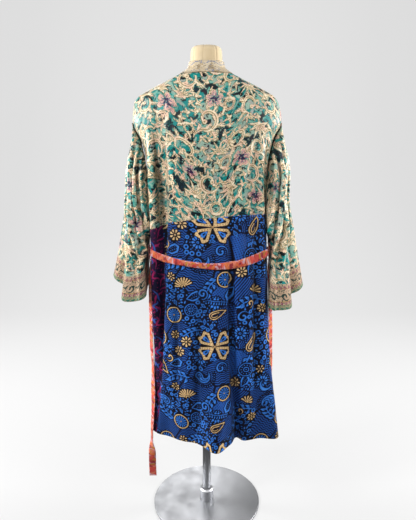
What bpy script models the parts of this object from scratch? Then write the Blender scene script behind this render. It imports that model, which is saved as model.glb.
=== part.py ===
"""Kimono robe of patched printed silk, hanging open on a limbless dress form with a stand.

The frame is in metres with +Z up and the floor at zero. The open front faces -Y, the back +Y,
and the wearer's left is +X. A place round the body is a "share": 0 at the centre back, 1 at the
left side, about 2 at the centre front, and the same with a minus sign on the right.
"""

import functools
import math
from typing import NamedTuple

import bmesh
import bpy
import numpy as np

# Cloth
CLOTH = 0.0012
BAND_CLOTH = 0.0022
BELT_CLOTH = 0.0016
SEAM_GAP = 0.0003
WAIST_GAP = 0.0006
SIDE_GAP = 0.0011
ARMHOLE_LAP = CLOTH + 0.0014
ON_FORM = 0.0036
LOOSE = 0.0020
MOST_SLOPE = 3.0
BAND_GAP = 0.0035
BAND_LIFT = 0.012
SLEEVE_CLEAR = 0.0030
TOP_CROWDING = 2.2

# Heights on the robe
NECK_SEAM = 1.468
DROP_SEAM = 1.335
UNDERARM = 1.110
HEM = 0.300

# Fine grids that the panels are cut from
GRID_STEP = 0.004
GRID_MARGIN = 0.012
GRID_ANGLES = 717
GRID_PLACES = 801
SLEEVE_PLACES = 241
SLEEVE_SPAN = 33
LAST_PLACE = 1.99
GUIDE_POINTS = 401

# Belt
BELT_WIDTH = 0.025
BELT_STANDOFF = 0.0031
BELT_TOP_SIDE = 0.951
BELT_SAG = 0.031
BELT_SAG_AT = -0.040
BELT_SAG_POWER = 1.8
BELT_REACH_LEFT = 0.170
BELT_REACH_RIGHT = 0.184
BELT_END_TOP = 0.954
BELT_END_LEFT = 0.125
BELT_END_RIGHT = 0.340
BELT_END_GAP = 0.003
BELT_DRIFT = 0.035
BELT_DRIFT_FROM = 0.751
BELT_DRIFT_TO = 0.401
BELT_TWIST_FROM = 0.285
BELT_TWIST_TO = 0.205
LOOP_HEIGHT = 0.052
LOOP_WIDTH = 0.006
LOOP_DEPTH = 0.0066
LOOP_PAST_CREST = 0.006
LOOP_CORNER = 0.006
LOOP_TURN = 0.3 * LOOP_DEPTH
LOOP_SHOULDER = 0.001

# Stand
FORM_BOTTOM = 0.815
POLE_RADIUS = 0.014
COLLAR_RADIUS = 0.024
COLLAR_HEIGHT = 0.045
COLLAR_BEVEL = 0.005
BASE_RADIUS = 0.190
BASE_THICKNESS = 0.006
BASE_BEVEL = 0.0015

# Where the robe is loose of the form, and how a sleeve clears the body
LOOSE_FROM = DROP_SEAM - 0.01
LOOSE_FULL = DROP_SEAM - 0.09
CLEAR_FROM = FORM_BOTTOM - 0.02
LEAST_REACH = 0.3
AT_EDGE = 0.001
SHOULDER_LEVELS = 80
SLEEVE_TOP = DROP_SEAM - 0.006
SLEEVE_PAST_CUFF = 0.03
ARM_BLEND = 0.03
SLEEVE_FOLDS_FROM = UNDERARM + 0.10
SLEEVE_FOLDS_LENGTH = 0.41
SIDE_SHARES = (0.45, 1.5, 211)
BESIDE = 0.003

SIDE_NAMES = {1: "left", -1: "right"}


class FormSection(NamedTuple):
    """A level section of the dress form: an oval with its own depth behind and in front."""

    height: float
    half_width: float
    back: float
    front: float


FORM_POWER = 2.3
FORM_SECTIONS = (
    FormSection(1.5475, 0.0200, 0.0200, 0.0200),
    FormSection(1.5440, 0.0360, 0.0360, 0.0360),
    FormSection(1.5360, 0.0440, 0.0440, 0.0440),
    FormSection(1.5200, 0.0462, 0.0465, 0.0465),
    FormSection(1.5000, 0.0470, 0.0475, 0.0475),
    FormSection(1.4820, 0.0510, 0.0510, 0.0500),
    FormSection(1.4750, 0.0590, 0.0545, 0.0525),
    FormSection(1.4680, 0.0705, 0.0590, 0.0560),
    FormSection(1.4590, 0.0885, 0.0650, 0.0612),
    FormSection(1.4500, 0.1060, 0.0700, 0.0660),
    FormSection(1.4350, 0.1370, 0.0775, 0.0735),
    FormSection(1.4200, 0.1665, 0.0840, 0.0800),
    FormSection(1.4080, 0.1880, 0.0890, 0.0860),
    FormSection(1.3900, 0.2000, 0.0940, 0.0910),
    FormSection(1.3600, 0.2040, 0.0990, 0.0970),
    FormSection(1.3300, 0.2000, 0.1030, 0.1030),
    FormSection(1.2800, 0.1840, 0.1060, 0.1120),
    FormSection(1.2000, 0.1600, 0.1030, 0.1210),
    FormSection(1.0700, 0.1220, 0.0820, 0.0920),
    FormSection(0.9600, 0.1400, 0.0960, 0.0970),
    FormSection(0.8800, 0.1530, 0.1000, 0.0970),
    FormSection(0.8400, 0.1520, 0.0980, 0.0930),
    FormSection(0.8230, 0.1440, 0.0910, 0.0850),
    FormSection(FORM_BOTTOM, 0.1300, 0.0760, 0.0700),
)


class RobeSection(NamedTuple):
    """A level section of the robe round the body, before its folds."""

    height: float
    left: float
    right: float
    back: float
    front: float
    power: float


ROBE_SECTIONS = (
    RobeSection(1.4200, 0.1680, 0.1680, 0.0850, 0.0810, 2.3),
    RobeSection(1.4060, 0.2000, 0.1990, 0.0915, 0.0885, 2.3),
    RobeSection(1.3840, 0.2160, 0.2155, 0.0975, 0.0955, 2.3),
    RobeSection(DROP_SEAM, 0.2225, 0.2260, 0.1060, 0.1080, 2.4),
    RobeSection(1.2800, 0.2010, 0.2040, 0.1100, 0.1180, 2.5),
    RobeSection(1.2000, 0.1830, 0.1860, 0.1110, 0.1270, 2.6),
    RobeSection(UNDERARM, 0.1720, 0.1760, 0.1110, 0.1290, 2.7),
    RobeSection(1.0200, 0.1680, 0.1780, 0.1110, 0.1270, 2.8),
    RobeSection(0.9500, 0.1700, 0.1820, 0.1120, 0.1260, 2.8),
    RobeSection(0.7000, 0.1730, 0.1910, 0.1110, 0.1240, 2.8),
    RobeSection(0.4700, 0.1800, 0.2080, 0.1060, 0.1240, 2.7),
    RobeSection(HEM, 0.1920, 0.2260, 0.1020, 0.1260, 2.6),
)

FOLD_HEIGHTS = (1.300, UNDERARM, 1.020, 0.620, HEM)


class Fold(NamedTuple):
    """A crest (+) or trough (-) of the robe, with its depth at each of FOLD_HEIGHTS.

    It lies `at_arm`, `at_waist` and `at_hem` metres round from the centre back, left positive.
    """

    name: str
    at_arm: float
    at_waist: float
    at_hem: float
    width: float
    yoke: float
    arm: float
    waist: float
    knee: float
    hem: float


FOLDS = (
    Fold("left side valley", 0.136, 0.138, 0.200, 0.0150, -0.008, -0.028, -0.030, -0.018, -0.004),
    Fold("left flute", 0.172, 0.172, 0.190, 0.0200, 0.0, 0.014, 0.015, 0.006, 0.000),
    Fold("left back roll", 0.085, 0.092, 0.080, 0.0320, 0.0, 0.004, 0.005, 0.006, 0.000),
    Fold("left hem hollow", 0.120, 0.120, 0.140, 0.0500, 0.0, 0.000, 0.000, -0.006, -0.020),
    Fold("centre flute", 0.000, -0.015, -0.030, 0.0430, 0.0, 0.000, 0.002, 0.014, 0.064),
    Fold("centre crease", -0.075, -0.078, -0.102, 0.0130, 0.0, 0.000, -0.003, -0.014, -0.026),
    Fold("right back roll", -0.130, -0.130, -0.150, 0.0300, 0.0, 0.003, 0.004, 0.003, 0.000),
    Fold("right corner", -0.188, -0.190, -0.222, 0.0260, 0.0, 0.012, 0.014, 0.018, 0.040),
    Fold("right side trough", -0.245, -0.250, -0.300, 0.0240, 0.0, -0.010, -0.017, -0.010, -0.006),
    Fold("right front crest", -0.315, -0.320, -0.360, 0.0250, 0.0, 0.010, 0.010, 0.014, 0.022),
    Fold("right front trough", -0.372, -0.378, -0.425, 0.0220, 0.0, -0.004, -0.008, -0.012, -0.018),
    Fold("left side trough", 0.232, 0.230, 0.262, 0.0200, 0.0, -0.008, -0.010, -0.008, -0.004),
    Fold("left front crest", 0.290, 0.292, 0.320, 0.0240, 0.0, 0.010, 0.011, 0.014, 0.020),
    Fold("left front trough", 0.345, 0.350, 0.378, 0.0210, 0.0, -0.004, -0.008, -0.013, -0.018),
)


class SideSeam(NamedTuple):
    """Where the side seams lie, as shares."""

    height: float
    left: float
    right: float


SIDE_SEAMS = (
    SideSeam(UNDERARM, 0.93, 0.96),
    SideSeam(1.080, 0.81, 0.98),
    SideSeam(1.035, 0.635, 1.00),
    SideSeam(0.950, 0.625, 1.03),
    SideSeam(0.700, 0.665, 1.06),
    SideSeam(0.470, 0.715, 1.08),
    SideSeam(HEM, 0.800, 1.10),
)


class Armhole(NamedTuple):
    """The armhole seam of both sides, as shares, behind and in front."""

    height: float
    back_left: float
    front_left: float
    back_right: float
    front_right: float


ARMHOLES = (
    Armhole(DROP_SEAM, 1.00, 1.00, 1.00, 1.00),
    Armhole(1.270, 0.91, 1.09, 0.90, 1.12),
    Armhole(1.190, 0.86, 1.05, 0.86, 1.09),
    Armhole(UNDERARM, 0.93, 0.93, 0.96, 0.96),
)


class WaistPoint(NamedTuple):
    """Height of the waist seam at a share."""

    share: float
    height: float


WAIST_SEAM = (
    WaistPoint(-2.00, 1.030),
    WaistPoint(-1.00, 1.052),
    WaistPoint(-0.50, 1.061),
    WaistPoint(0.00, 1.052),
    WaistPoint(0.45, 1.040),
    WaistPoint(0.80, 1.010),
    WaistPoint(1.20, 1.012),
    WaistPoint(2.00, 1.030),
)


class BandPoint(NamedTuple):
    """The neckband's two edges in front: heights, and distances from the centre line."""

    seam_height: float
    seam_x: float
    edge_height: float
    edge_x: float


BAND_BACK_EDGE = 1.5010
BAND_FRONT = (
    BandPoint(NECK_SEAM, 0.0727, 1.5005, 0.0490),
    BandPoint(1.4540, 0.0760, 1.4840, 0.0460),
    BandPoint(1.4350, 0.0785, 1.4580, 0.0430),
    BandPoint(1.4100, 0.0810, 1.4250, 0.0420),
    BandPoint(1.3700, 0.0850, 1.3750, 0.0450),
    BandPoint(1.3000, 0.0900, 1.3000, 0.0500),
    BandPoint(UNDERARM, 0.0970, UNDERARM, 0.0570),
    BandPoint(0.7000, 0.1000, 0.7000, 0.0600),
    BandPoint(HEM, 0.1040, HEM, 0.0640),
)


class SleeveSection(NamedTuple):
    """A level section of a hanging sleeve by its corners, measured outwards and backwards."""

    height: float
    inner_out: float
    inner_back: float
    back_out: float
    back_back: float
    outer_out: float
    outer_back: float
    front_out: float
    front_back: float


SLEEVES = {
    1: (
        SleeveSection(1.330, 0.2200, 0.000, 0.2232, 0.012, 0.2240, 0.000, 0.2232, -0.012),
        SleeveSection(1.260, 0.1990, 0.000, 0.2200, 0.046, 0.2310, 0.000, 0.2190, -0.048),
        SleeveSection(1.210, 0.1900, 0.000, 0.2180, 0.060, 0.2430, 0.000, 0.2180, -0.062),
        SleeveSection(UNDERARM, 0.1760, 0.020, 0.2120, 0.070, 0.2520, 0.000, 0.2140, -0.076),
        SleeveSection(1.070, 0.1680, 0.034, 0.2120, 0.074, 0.2570, 0.000, 0.2150, -0.082),
        SleeveSection(1.005, 0.1720, 0.030, 0.2130, 0.079, 0.2720, -0.018, 0.2169, -0.092),
        SleeveSection(0.970, 0.1860, 0.000, 0.2134, 0.081, 0.2800, -0.028, 0.2178, -0.098),
        SleeveSection(0.930, 0.1880, -0.004, 0.2140, 0.084, 0.2890, -0.040, 0.2190, -0.104),
        SleeveSection(0.780, 0.1900, -0.010, 0.2140, 0.094, 0.3310, -0.085, 0.2300, -0.128),
    ),
    -1: (
        SleeveSection(1.330, 0.2230, 0.000, 0.2262, 0.012, 0.2270, 0.000, 0.2262, -0.012),
        SleeveSection(1.260, 0.2020, 0.000, 0.2260, 0.046, 0.2420, 0.000, 0.2230, -0.048),
        SleeveSection(1.210, 0.1930, 0.000, 0.2280, 0.060, 0.2510, 0.000, 0.2220, -0.062),
        SleeveSection(UNDERARM, 0.1800, 0.004, 0.2200, 0.070, 0.2600, 0.000, 0.2200, -0.076),
        SleeveSection(1.070, 0.1740, 0.034, 0.2200, 0.072, 0.2640, 0.000, 0.2220, -0.082),
        SleeveSection(1.005, 0.1850, 0.030, 0.2190, 0.077, 0.2800, -0.018, 0.2255, -0.092),
        SleeveSection(0.970, 0.2065, -0.003, 0.2186, 0.079, 0.2880, -0.028, 0.2270, -0.098),
        SleeveSection(0.930, 0.2080, -0.004, 0.2180, 0.082, 0.2975, -0.040, 0.2290, -0.104),
        SleeveSection(0.750, 0.2120, -0.010, 0.2180, 0.098, 0.3410, -0.085, 0.2420, -0.128),
    ),
}


class CuffPoint(NamedTuple):
    """Cuff heights round a sleeve: across is -1 at the back of its seam, 0 at the top fold."""

    across: float
    left: float
    right: float


CUFFS = (
    CuffPoint(-1.00, 0.828, 0.768),
    CuffPoint(-0.70, 0.796, 0.760),
    CuffPoint(-0.48, 0.778, 0.753),
    CuffPoint(-0.28, 0.803, 0.772),
    CuffPoint(0.00, 0.832, 0.796),
    CuffPoint(0.45, 0.812, 0.778),
    CuffPoint(1.00, 0.828, 0.768),
)


class SleeveFold(NamedTuple):
    """A crest or trough down a sleeve, deepest at the cuff; across as in CuffPoint."""

    name: str
    across: float
    width: float
    underarm: float
    cuff: float


SLEEVE_FOLDS = {
    1: (
        SleeveFold("inner back crest", -0.74, 0.06, 0.003, 0.006),
        SleeveFold("back trough", -0.61, 0.05, -0.004, -0.008),
        SleeveFold("back crest", -0.45, 0.08, 0.003, 0.014),
        SleeveFold("outer trough", -0.26, 0.085, -0.004, -0.026),
        SleeveFold("front crest", 0.20, 0.07, 0.002, 0.008),
        SleeveFold("front trough", 0.45, 0.07, -0.003, -0.012),
        SleeveFold("inner front crest", 0.72, 0.08, 0.002, 0.006),
    ),
    -1: (
        SleeveFold("inner back crest", -0.78, 0.07, 0.002, 0.010),
        SleeveFold("back trough", -0.63, 0.05, -0.003, -0.008),
        SleeveFold("back crest", -0.46, 0.08, 0.004, 0.010),
        SleeveFold("outer trough", -0.27, 0.085, -0.005, -0.028),
        SleeveFold("front crest", 0.22, 0.07, 0.002, 0.008),
        SleeveFold("front trough", 0.47, 0.07, -0.004, -0.012),
        SleeveFold("inner front crest", 0.74, 0.08, 0.002, 0.006),
    ),
}


def through(knots, values, at):
    """Smooth curve through the knots with no overshoot, read at each of `at`."""
    order = np.argsort(knots)
    knots = np.asarray(knots, float)[order]
    values = np.asarray(values, float)[order]
    step = np.diff(knots)
    slope = np.diff(values) / step
    before, after = slope[:-1], slope[1:]
    same_way = before * after > 0
    total = np.where(same_way, before + after, 1.0)
    inner = np.where(same_way, 2 * before * after / total, 0.0)
    tangent = np.concatenate([slope[:1], inner, slope[-1:]])
    at = np.clip(at, knots[0], knots[-1])
    cell = np.clip(np.searchsorted(knots, at, side="right") - 1, 0, len(step) - 1)
    run = step[cell]
    t = (at - knots[cell]) / run
    rise = values[cell] * (1 + 2 * t) * (1 - t) ** 2 + values[cell + 1] * (3 - 2 * t) * t**2
    return rise + run * t * (1 - t) * (tangent[cell] * (1 - t) - tangent[cell + 1] * t)


def column(rows, name):
    """One named column of a table."""
    return [getattr(row, name) for row in rows]


def read(rows, name, at, by="height"):
    """The table's column `name` at each of `at`, smooth between its rows."""
    return through(column(rows, by), column(rows, name), at)


def oval(angle, half_width, back, front, power):
    """Section outline, where angle 0 is the centre back and a quarter turn is the left side."""
    sine, cosine = np.sin(angle), np.cos(angle)
    x = half_width * np.sign(sine) * np.abs(sine) ** (2 / power)
    y = np.where(cosine >= 0, back, front) * np.sign(cosine) * np.abs(cosine) ** (2 / power)
    return np.stack([x, y], axis=-1)


def outward(points):
    """Outward unit normals of outlines that run from the right front by the back to the left."""
    run = np.gradient(points, axis=-2)
    return unit(np.stack([-run[..., 1], run[..., 0]], axis=-1))


def lengths(points):
    """Distance along each outline from its first point."""
    step = np.linalg.norm(np.diff(points, axis=-2), axis=-1)
    return np.concatenate([np.zeros(step.shape[:-1] + (1,)), np.cumsum(step, axis=-1)], axis=-1)


class Surface:
    """A surface held as a fine grid of outlines: rows by height, columns by a place round."""

    def __init__(self, heights, places, points):
        self.heights = heights
        self.places = places
        self.points = points

    def at(self, height, place):
        """Points (x, y, height) of the surface, straight between the grid's own points."""
        height, place = np.broadcast_arrays(height, place)
        row = np.interp(height, self.heights, np.arange(len(self.heights)))
        col = np.interp(place, self.places, np.arange(len(self.places)))
        i = np.minimum(row.astype(int), len(self.heights) - 2)
        j = np.minimum(col.astype(int), len(self.places) - 2)
        s, t = (row - i)[..., None], (col - j)[..., None]
        low = self.points[i, j] * (1 - t) + self.points[i, j + 1] * t
        high = self.points[i + 1, j] * (1 - t) + self.points[i + 1, j + 1] * t
        flat = low * (1 - s) + high * s
        return np.concatenate([flat, height[..., None]], axis=-1)


def off_form(name, heights, distance):
    """A size of the form's sections, grown so that the surface lies `distance` off, square to it."""
    rise = read(FORM_SECTIONS, name, heights + GRID_STEP) - read(FORM_SECTIONS, name, heights - GRID_STEP)
    slope = np.minimum(np.abs(rise) / (2 * GRID_STEP), MOST_SLOPE)
    return read(FORM_SECTIONS, name, heights) + distance * np.sqrt(1 + slope**2)


def clear_of_form(points, heights):
    """Moves points that would enter the dress form out to just clear of it."""
    distance = ON_FORM + LOOSE * ease(LOOSE_FROM, LOOSE_FULL, heights)
    half_width = off_form("half_width", heights, distance)[:, None]
    back = off_form("back", heights, distance)[:, None]
    front = off_form("front", heights, distance)[:, None]
    depth = np.where(points[..., 1] >= 0, back, front)
    x, y = np.abs(points[..., 0]) / half_width, np.abs(points[..., 1]) / depth
    reach = (x**FORM_POWER + y**FORM_POWER) ** (1 / FORM_POWER)
    beside_form = heights[:, None] > CLEAR_FROM
    grow = np.where(beside_form & (reach < 1), 1 / np.maximum(reach, LEAST_REACH), 1.0)
    return points * grow[..., None]


def robe_size(name, heights):
    """A size of the robe's sections: its own below the drop seam, and clear of the form above."""
    own = read(ROBE_SECTIONS, name, heights)
    form = off_form("half_width" if name in ("left", "right") else name, heights, ON_FORM)
    on_shoulder = np.where(heights > ROBE_SECTIONS[0].height, form, np.maximum(own, form))
    return np.where(heights < DROP_SEAM, own, on_shoulder)


def robe_outlines(heights, angle):
    """The robe's level outlines before its folds."""
    left, right, back, front = (
        robe_size(name, heights)[:, None] for name in ("left", "right", "back", "front")
    )
    power = read(ROBE_SECTIONS, "power", heights)[:, None]
    return oval(angle[None, :], np.where(angle >= 0, left, right), back, front, power)


def fold_depths(heights, run):
    """How far the folds move each point of the outlines, given its distance round from the back."""
    depth = np.zeros_like(run)
    for fold in FOLDS:
        between = (fold.at_waist + fold.at_hem) / 2
        route = (fold.at_arm, fold.at_arm, fold.at_waist, between, fold.at_hem)
        swell = through(FOLD_HEIGHTS, (fold.yoke, fold.arm, fold.waist, fold.knee, fold.hem), heights)
        away = (run - through(FOLD_HEIGHTS, route, heights)[:, None]) / fold.width
        depth += swell[:, None] * np.exp(-(away**2))
    return depth


def by_share(share, outlines, places):
    """Outlines sampled afresh at set shares round the body."""
    found = np.empty((len(outlines), len(places), 2))
    for row, line in enumerate(outlines):
        for axis in range(2):
            found[row, :, axis] = np.interp(places, share[row], line[:, axis])
    return found


class Body:
    """The robe's outer surface round the body, and what the panels need to know of it."""

    def __init__(self):
        heights = np.arange(HEM - GRID_MARGIN, BAND_BACK_EDGE + GRID_MARGIN, GRID_STEP)
        angle = np.radians(np.linspace(-179, 179, GRID_ANGLES))
        base = robe_outlines(heights, angle)
        run = lengths(base)
        run -= run[:, GRID_ANGLES // 2, None]
        self.left_quarter = run[:, np.argmin(np.abs(angle - math.pi / 2))]
        self.right_quarter = -run[:, np.argmin(np.abs(angle + math.pi / 2))]
        share = run / np.where(run >= 0, self.left_quarter[:, None], self.right_quarter[:, None])
        folded = base + outward(base) * fold_depths(heights, run)[..., None]
        self.heights = heights
        self.places = np.linspace(-2.0, 2.0, GRID_PLACES)
        self.base_x = by_share(share, base, self.places)[..., 0]
        shape = by_share(share, clear_of_form(folded, heights), self.places)
        self.surface = Surface(heights, self.places, shape)

    def quarter(self, height, side=1):
        """Length round from the centre back to the side."""
        return np.interp(height, self.heights, self.left_quarter if side > 0 else self.right_quarter)

    def share_in_front(self, height, x):
        """Share of the place in front, on the left, that lies `x` from the centre line."""
        height, x = np.broadcast_arrays(height, x)
        front = self.places >= 1.0
        row = np.rint(np.interp(height, self.heights, np.arange(len(self.heights)))).astype(int)
        found = [
            np.interp(-want, -self.base_x[k, front], self.places[front])
            for k, want in zip(row.ravel(), x.ravel())
        ]
        return np.reshape(found, height.shape)

    def normal(self, height, place):
        """Outward unit normals of the surface."""
        across = self.surface.at(height, place + GRID_STEP) - self.surface.at(height, place - GRID_STEP)
        rise = self.surface.at(height + GRID_STEP, place) - self.surface.at(height - GRID_STEP, place)
        return unit(np.cross(rise, across))


class Seams:
    """Where the body's panels meet, as shares at a height."""

    def __init__(self, body):
        self.body = body

    def side(self, height, side):
        """Side seam, below the underarm."""
        return read(SIDE_SEAMS, SIDE_NAMES[side], height)

    def bound(self, panel, height, side):
        """Outer bound of the panel "back" or "front": the armhole, then the side seam."""
        arm = read(ARMHOLES, f"{panel}_{SIDE_NAMES[side]}", height)
        return np.where(height > UNDERARM, arm, self.side(height, side))

    def front_edge(self, height):
        """Seam between a front and the neckband."""
        x = read(BAND_FRONT, "seam_x", height, by="seam_height")
        return self.body.share_in_front(height, x)

    def waist(self, share_at):
        """Height of the waist seam on the grain line whose share at a height is `share_at(height)`."""
        height = np.array(WAIST_SEAM[len(WAIST_SEAM) // 2].height)
        for _ in range(6):
            height = read(WAIST_SEAM, "height", share_at(height), by="share")
        return float(height)


def even(points, count):
    """Places in 0..1 that share the length of a sampled line evenly."""
    run = lengths(points)
    return np.interp(np.linspace(0, run[-1], count), run, np.linspace(0, 1, len(points)))


def unit(vectors):
    """The same directions with unit length."""
    return vectors / np.maximum(np.linalg.norm(vectors, axis=-1, keepdims=True), 1e-12)


def wall(outer, normals, thickness):
    """Vertices and quads of a cloth wall: the outer grid, and the same moved in."""
    rows, cols = outer.shape[:2]
    inner = outer - normals * thickness
    points = np.concatenate([outer.reshape(-1, 3), inner.reshape(-1, 3)])
    index = np.arange(rows * cols).reshape(rows, cols)
    back = index + rows * cols
    quads = []
    for i in range(rows - 1):
        for j in range(cols - 1):
            quads.append((index[i, j], index[i, j + 1], index[i + 1, j + 1], index[i + 1, j]))
            quads.append((back[i, j], back[i + 1, j], back[i + 1, j + 1], back[i, j + 1]))
    rim = np.concatenate([index[0, :-1], index[:-1, -1], index[-1, :0:-1], index[:0:-1, 0]])
    under = np.concatenate([back[0, :-1], back[:-1, -1], back[-1, :0:-1], back[:0:-1, 0]])
    for k in range(len(rim)):
        n = (k + 1) % len(rim)
        quads.append((rim[n], rim[k], under[k], under[n]))
    return points, quads


def add_mesh(name, points, faces, finish, smooth_angle=40.0):
    """Makes one closed object, with its faces turned outwards."""
    mesh = bpy.data.meshes.new(name)
    mesh.from_pydata([tuple(map(float, p)) for p in points], [], [tuple(map(int, f)) for f in faces])
    shape = bmesh.new()
    shape.from_mesh(mesh)
    bmesh.ops.recalc_face_normals(shape, faces=shape.faces)
    shape.to_mesh(mesh)
    shape.free()
    mesh.shade_smooth()
    mesh.set_sharp_from_angle(angle=math.radians(smooth_angle))
    mesh.materials.append(finish)
    obj = bpy.data.objects.new(name, mesh)
    bpy.context.scene.collection.objects.link(obj)
    return obj


def grid_normals(points, outwards):
    """Unit normals of a grid of points, turned to the side that `outwards` gives for each."""
    down = np.gradient(points, axis=0)
    along = np.gradient(points, axis=1)
    normal = unit(np.cross(down, along))
    facing = np.sign(np.sum(normal * outwards, axis=-1).mean())
    return normal * facing


def cut_panel(body, name, grain, finish, rows, crowding=1.0):
    """Makes a panel from its grain lines, each (share at a height, top height, bottom height)."""
    heights = np.empty((rows, len(grain)))
    shares = np.empty_like(heights)
    for j, (share_at, top, bottom) in enumerate(grain):
        heights[:, j] = top + (bottom - top) * np.linspace(0, 1, rows) ** crowding
        shares[:, j] = np.clip(share_at(heights[:, j]), -LAST_PLACE, LAST_PLACE)
    points = body.surface.at(heights, shares)
    add_mesh(name, *wall(points, body.normal(heights, shares), CLOTH), finish)


def back_share(body, seams, place, height):
    """Share of the upper back's grain line that starts `place` of the way to the shoulder tip."""
    side = 1 if place >= 0 else -1
    quarter = body.quarter(height, side)
    ridge = np.clip(place * body.quarter(DROP_SEAM, side) / quarter, -1, 1)
    share = np.where(height > DROP_SEAM, ridge, place * seams.bound("back", height, side))
    at_edge = abs(place) > 1 - AT_EDGE
    return share - side * at_edge * SIDE_GAP / 2 / quarter


def make_back_upper(body, seams, finish, columns=33, rows=12):
    """Upper back: from the neckline and the shoulder seams down to the waist seam."""
    across = np.linspace(-1, 1, GUIDE_POINTS)
    bounds = [seams.bound("back", UNDERARM, side) for side in (1, -1)]
    guide = body.surface.at(UNDERARM, across * np.where(across >= 0, *bounds))
    levels = np.linspace(DROP_SEAM, NECK_SEAM, SHOULDER_LEVELS)
    grain = []
    for place in even(guide, columns) * 2 - 1:
        side = 1 if place >= 0 else -1
        length = abs(place) * body.quarter(DROP_SEAM, side)
        top = np.interp(-length, -body.quarter(levels, side), levels) - SEAM_GAP / 2
        share_at = functools.partial(back_share, body, seams, place)
        grain.append((share_at, top, seams.waist(share_at) + WAIST_GAP / 2))
    cut_panel(body, "back_upper", grain, finish, rows, TOP_CROWDING)


def front_share(body, seams, side, place, height):
    """Share of an upper front's grain line, `place` of the way from the armhole to the neckband."""
    edge = seams.front_edge(height)
    quarter = body.quarter(height)
    length = (1 - place) * (seams.front_edge(DROP_SEAM) - 1) * body.quarter(DROP_SEAM)
    ridge = np.maximum(edge - length / quarter, 1 + SEAM_GAP / 2 / quarter)
    hang = edge - (1 - place) * (edge - seams.bound("front", height, side))
    share = np.where(height > DROP_SEAM, ridge, hang)
    share += (place < AT_EDGE) * SIDE_GAP / 2 / quarter
    share -= (place > 1 - AT_EDGE) * BAND_GAP / quarter
    return side * share


def make_front_upper(body, seams, side, finish, columns=14, rows=12):
    """Upper front: from the shoulder seam down to the waist seam, armhole to neckband."""
    levels = np.linspace(DROP_SEAM, NECK_SEAM - AT_EDGE, SHOULDER_LEVELS)
    to_edge = (seams.front_edge(levels) - 1) * body.quarter(levels)
    grain = []
    for place in np.linspace(0, 1, columns):
        top = np.interp(-(1 - place) * to_edge[0], -to_edge, levels) - SEAM_GAP / 2
        share_at = functools.partial(front_share, body, seams, side, place)
        grain.append((share_at, top, seams.waist(share_at) + WAIST_GAP / 2))
    cut_panel(body, f"front_upper_{SIDE_NAMES[side]}", grain, finish, rows, TOP_CROWDING)


def make_lower(body, seams, name, bounds, finish, columns, rows=9):
    """A panel from the waist seam to the hem, between the two shares that `bounds(height)` gives."""
    low, high = bounds((HEM + NECK_SEAM) / 2)
    guide = body.surface.at((HEM + NECK_SEAM) / 2, np.linspace(low, high, GUIDE_POINTS))
    grain = []
    for place in even(guide, columns):
        share_at = functools.partial(share_between, bounds, place)
        grain.append((share_at, seams.waist(share_at) - WAIST_GAP / 2, HEM))
    cut_panel(body, name, grain, finish, rows)


def share_between(bounds, place, height):
    """Share `place` of the way from one bound to the other."""
    low, high = bounds(height)
    return low + (high - low) * place


def make_back_lower(body, seams, finish):
    """Lower back, side seam to side seam."""

    def bounds(height):
        gap = SIDE_GAP / 2 / body.quarter(height)
        return gap - seams.side(height, -1), seams.side(height, 1) - gap

    make_lower(body, seams, "back_lower", bounds, finish, columns=43)


def make_front_lower(body, seams, side, finish):
    """Lower front, from its side seam to the neckband."""

    def bounds(height):
        gap = SIDE_GAP / 2 / body.quarter(height)
        return side * (seams.side(height, side) + gap), side * (seams.front_edge(height) - 2 * gap)

    columns = 25 if side > 0 else 18
    make_lower(body, seams, f"front_lower_{SIDE_NAMES[side]}", bounds, finish, columns)


def band_edges(body):
    """Both edges of the neckband as (share, height) points, from the centre back to the left hem."""
    turn = np.linspace(0, 1, 8, endpoint=False)
    front_top = BAND_FRONT[0].edge_height
    seam = [(share, NECK_SEAM) for share in turn]
    edge = [(share, BAND_BACK_EDGE + (front_top - BAND_BACK_EDGE) * share) for share in turn]
    knots = np.arange(len(BAND_FRONT))
    for at in np.concatenate([np.linspace(0.0, 5.0, 22), np.linspace(5.4, knots[-1], 9)]):
        for found, name in ((seam, "seam"), (edge, "edge")):
            height = float(through(knots, column(BAND_FRONT, name + "_height"), at))
            x = read(BAND_FRONT, name + "_x", height, by=name + "_height")
            found.append((max(1.0, float(body.share_in_front(height, x))), height))
    return np.array(seam), np.array(edge)


def make_neckband(body, finish, columns=3):
    """Neckband: stands round the back of the neck and runs down both front edges."""
    to_right = np.array([-1.0, 1.0])
    seam, edge = (np.concatenate([line[:0:-1] * to_right, line]) for line in band_edges(body))
    across = np.linspace(BAND_LIFT, 1, columns)[:, None, None]
    path = seam + (edge - seam) * across
    normals = body.normal(path[..., 1], path[..., 0])
    points = body.surface.at(path[..., 1], path[..., 0]) + normals * (BAND_CLOTH - CLOTH)
    add_mesh("neckband", *wall(points, normals, BAND_CLOTH), finish)


def spline(p0, p1, p2, p3, t):
    """Smooth curve from p1 to p2, led by the points before and after them."""
    bend = (2 * p0 - 5 * p1 + 4 * p2 - p3) * t**2 + (3 * p1 - p0 - 3 * p2 + p3) * t**3
    return 0.5 * (2 * p1 + (p2 - p0) * t + bend)


def below_arm(heights):
    """How far the sleeve's seam has left the armhole: 0 at the underarm, 1 a little below."""
    return np.clip((UNDERARM - heights) / ARM_BLEND, 0, 1)


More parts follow.
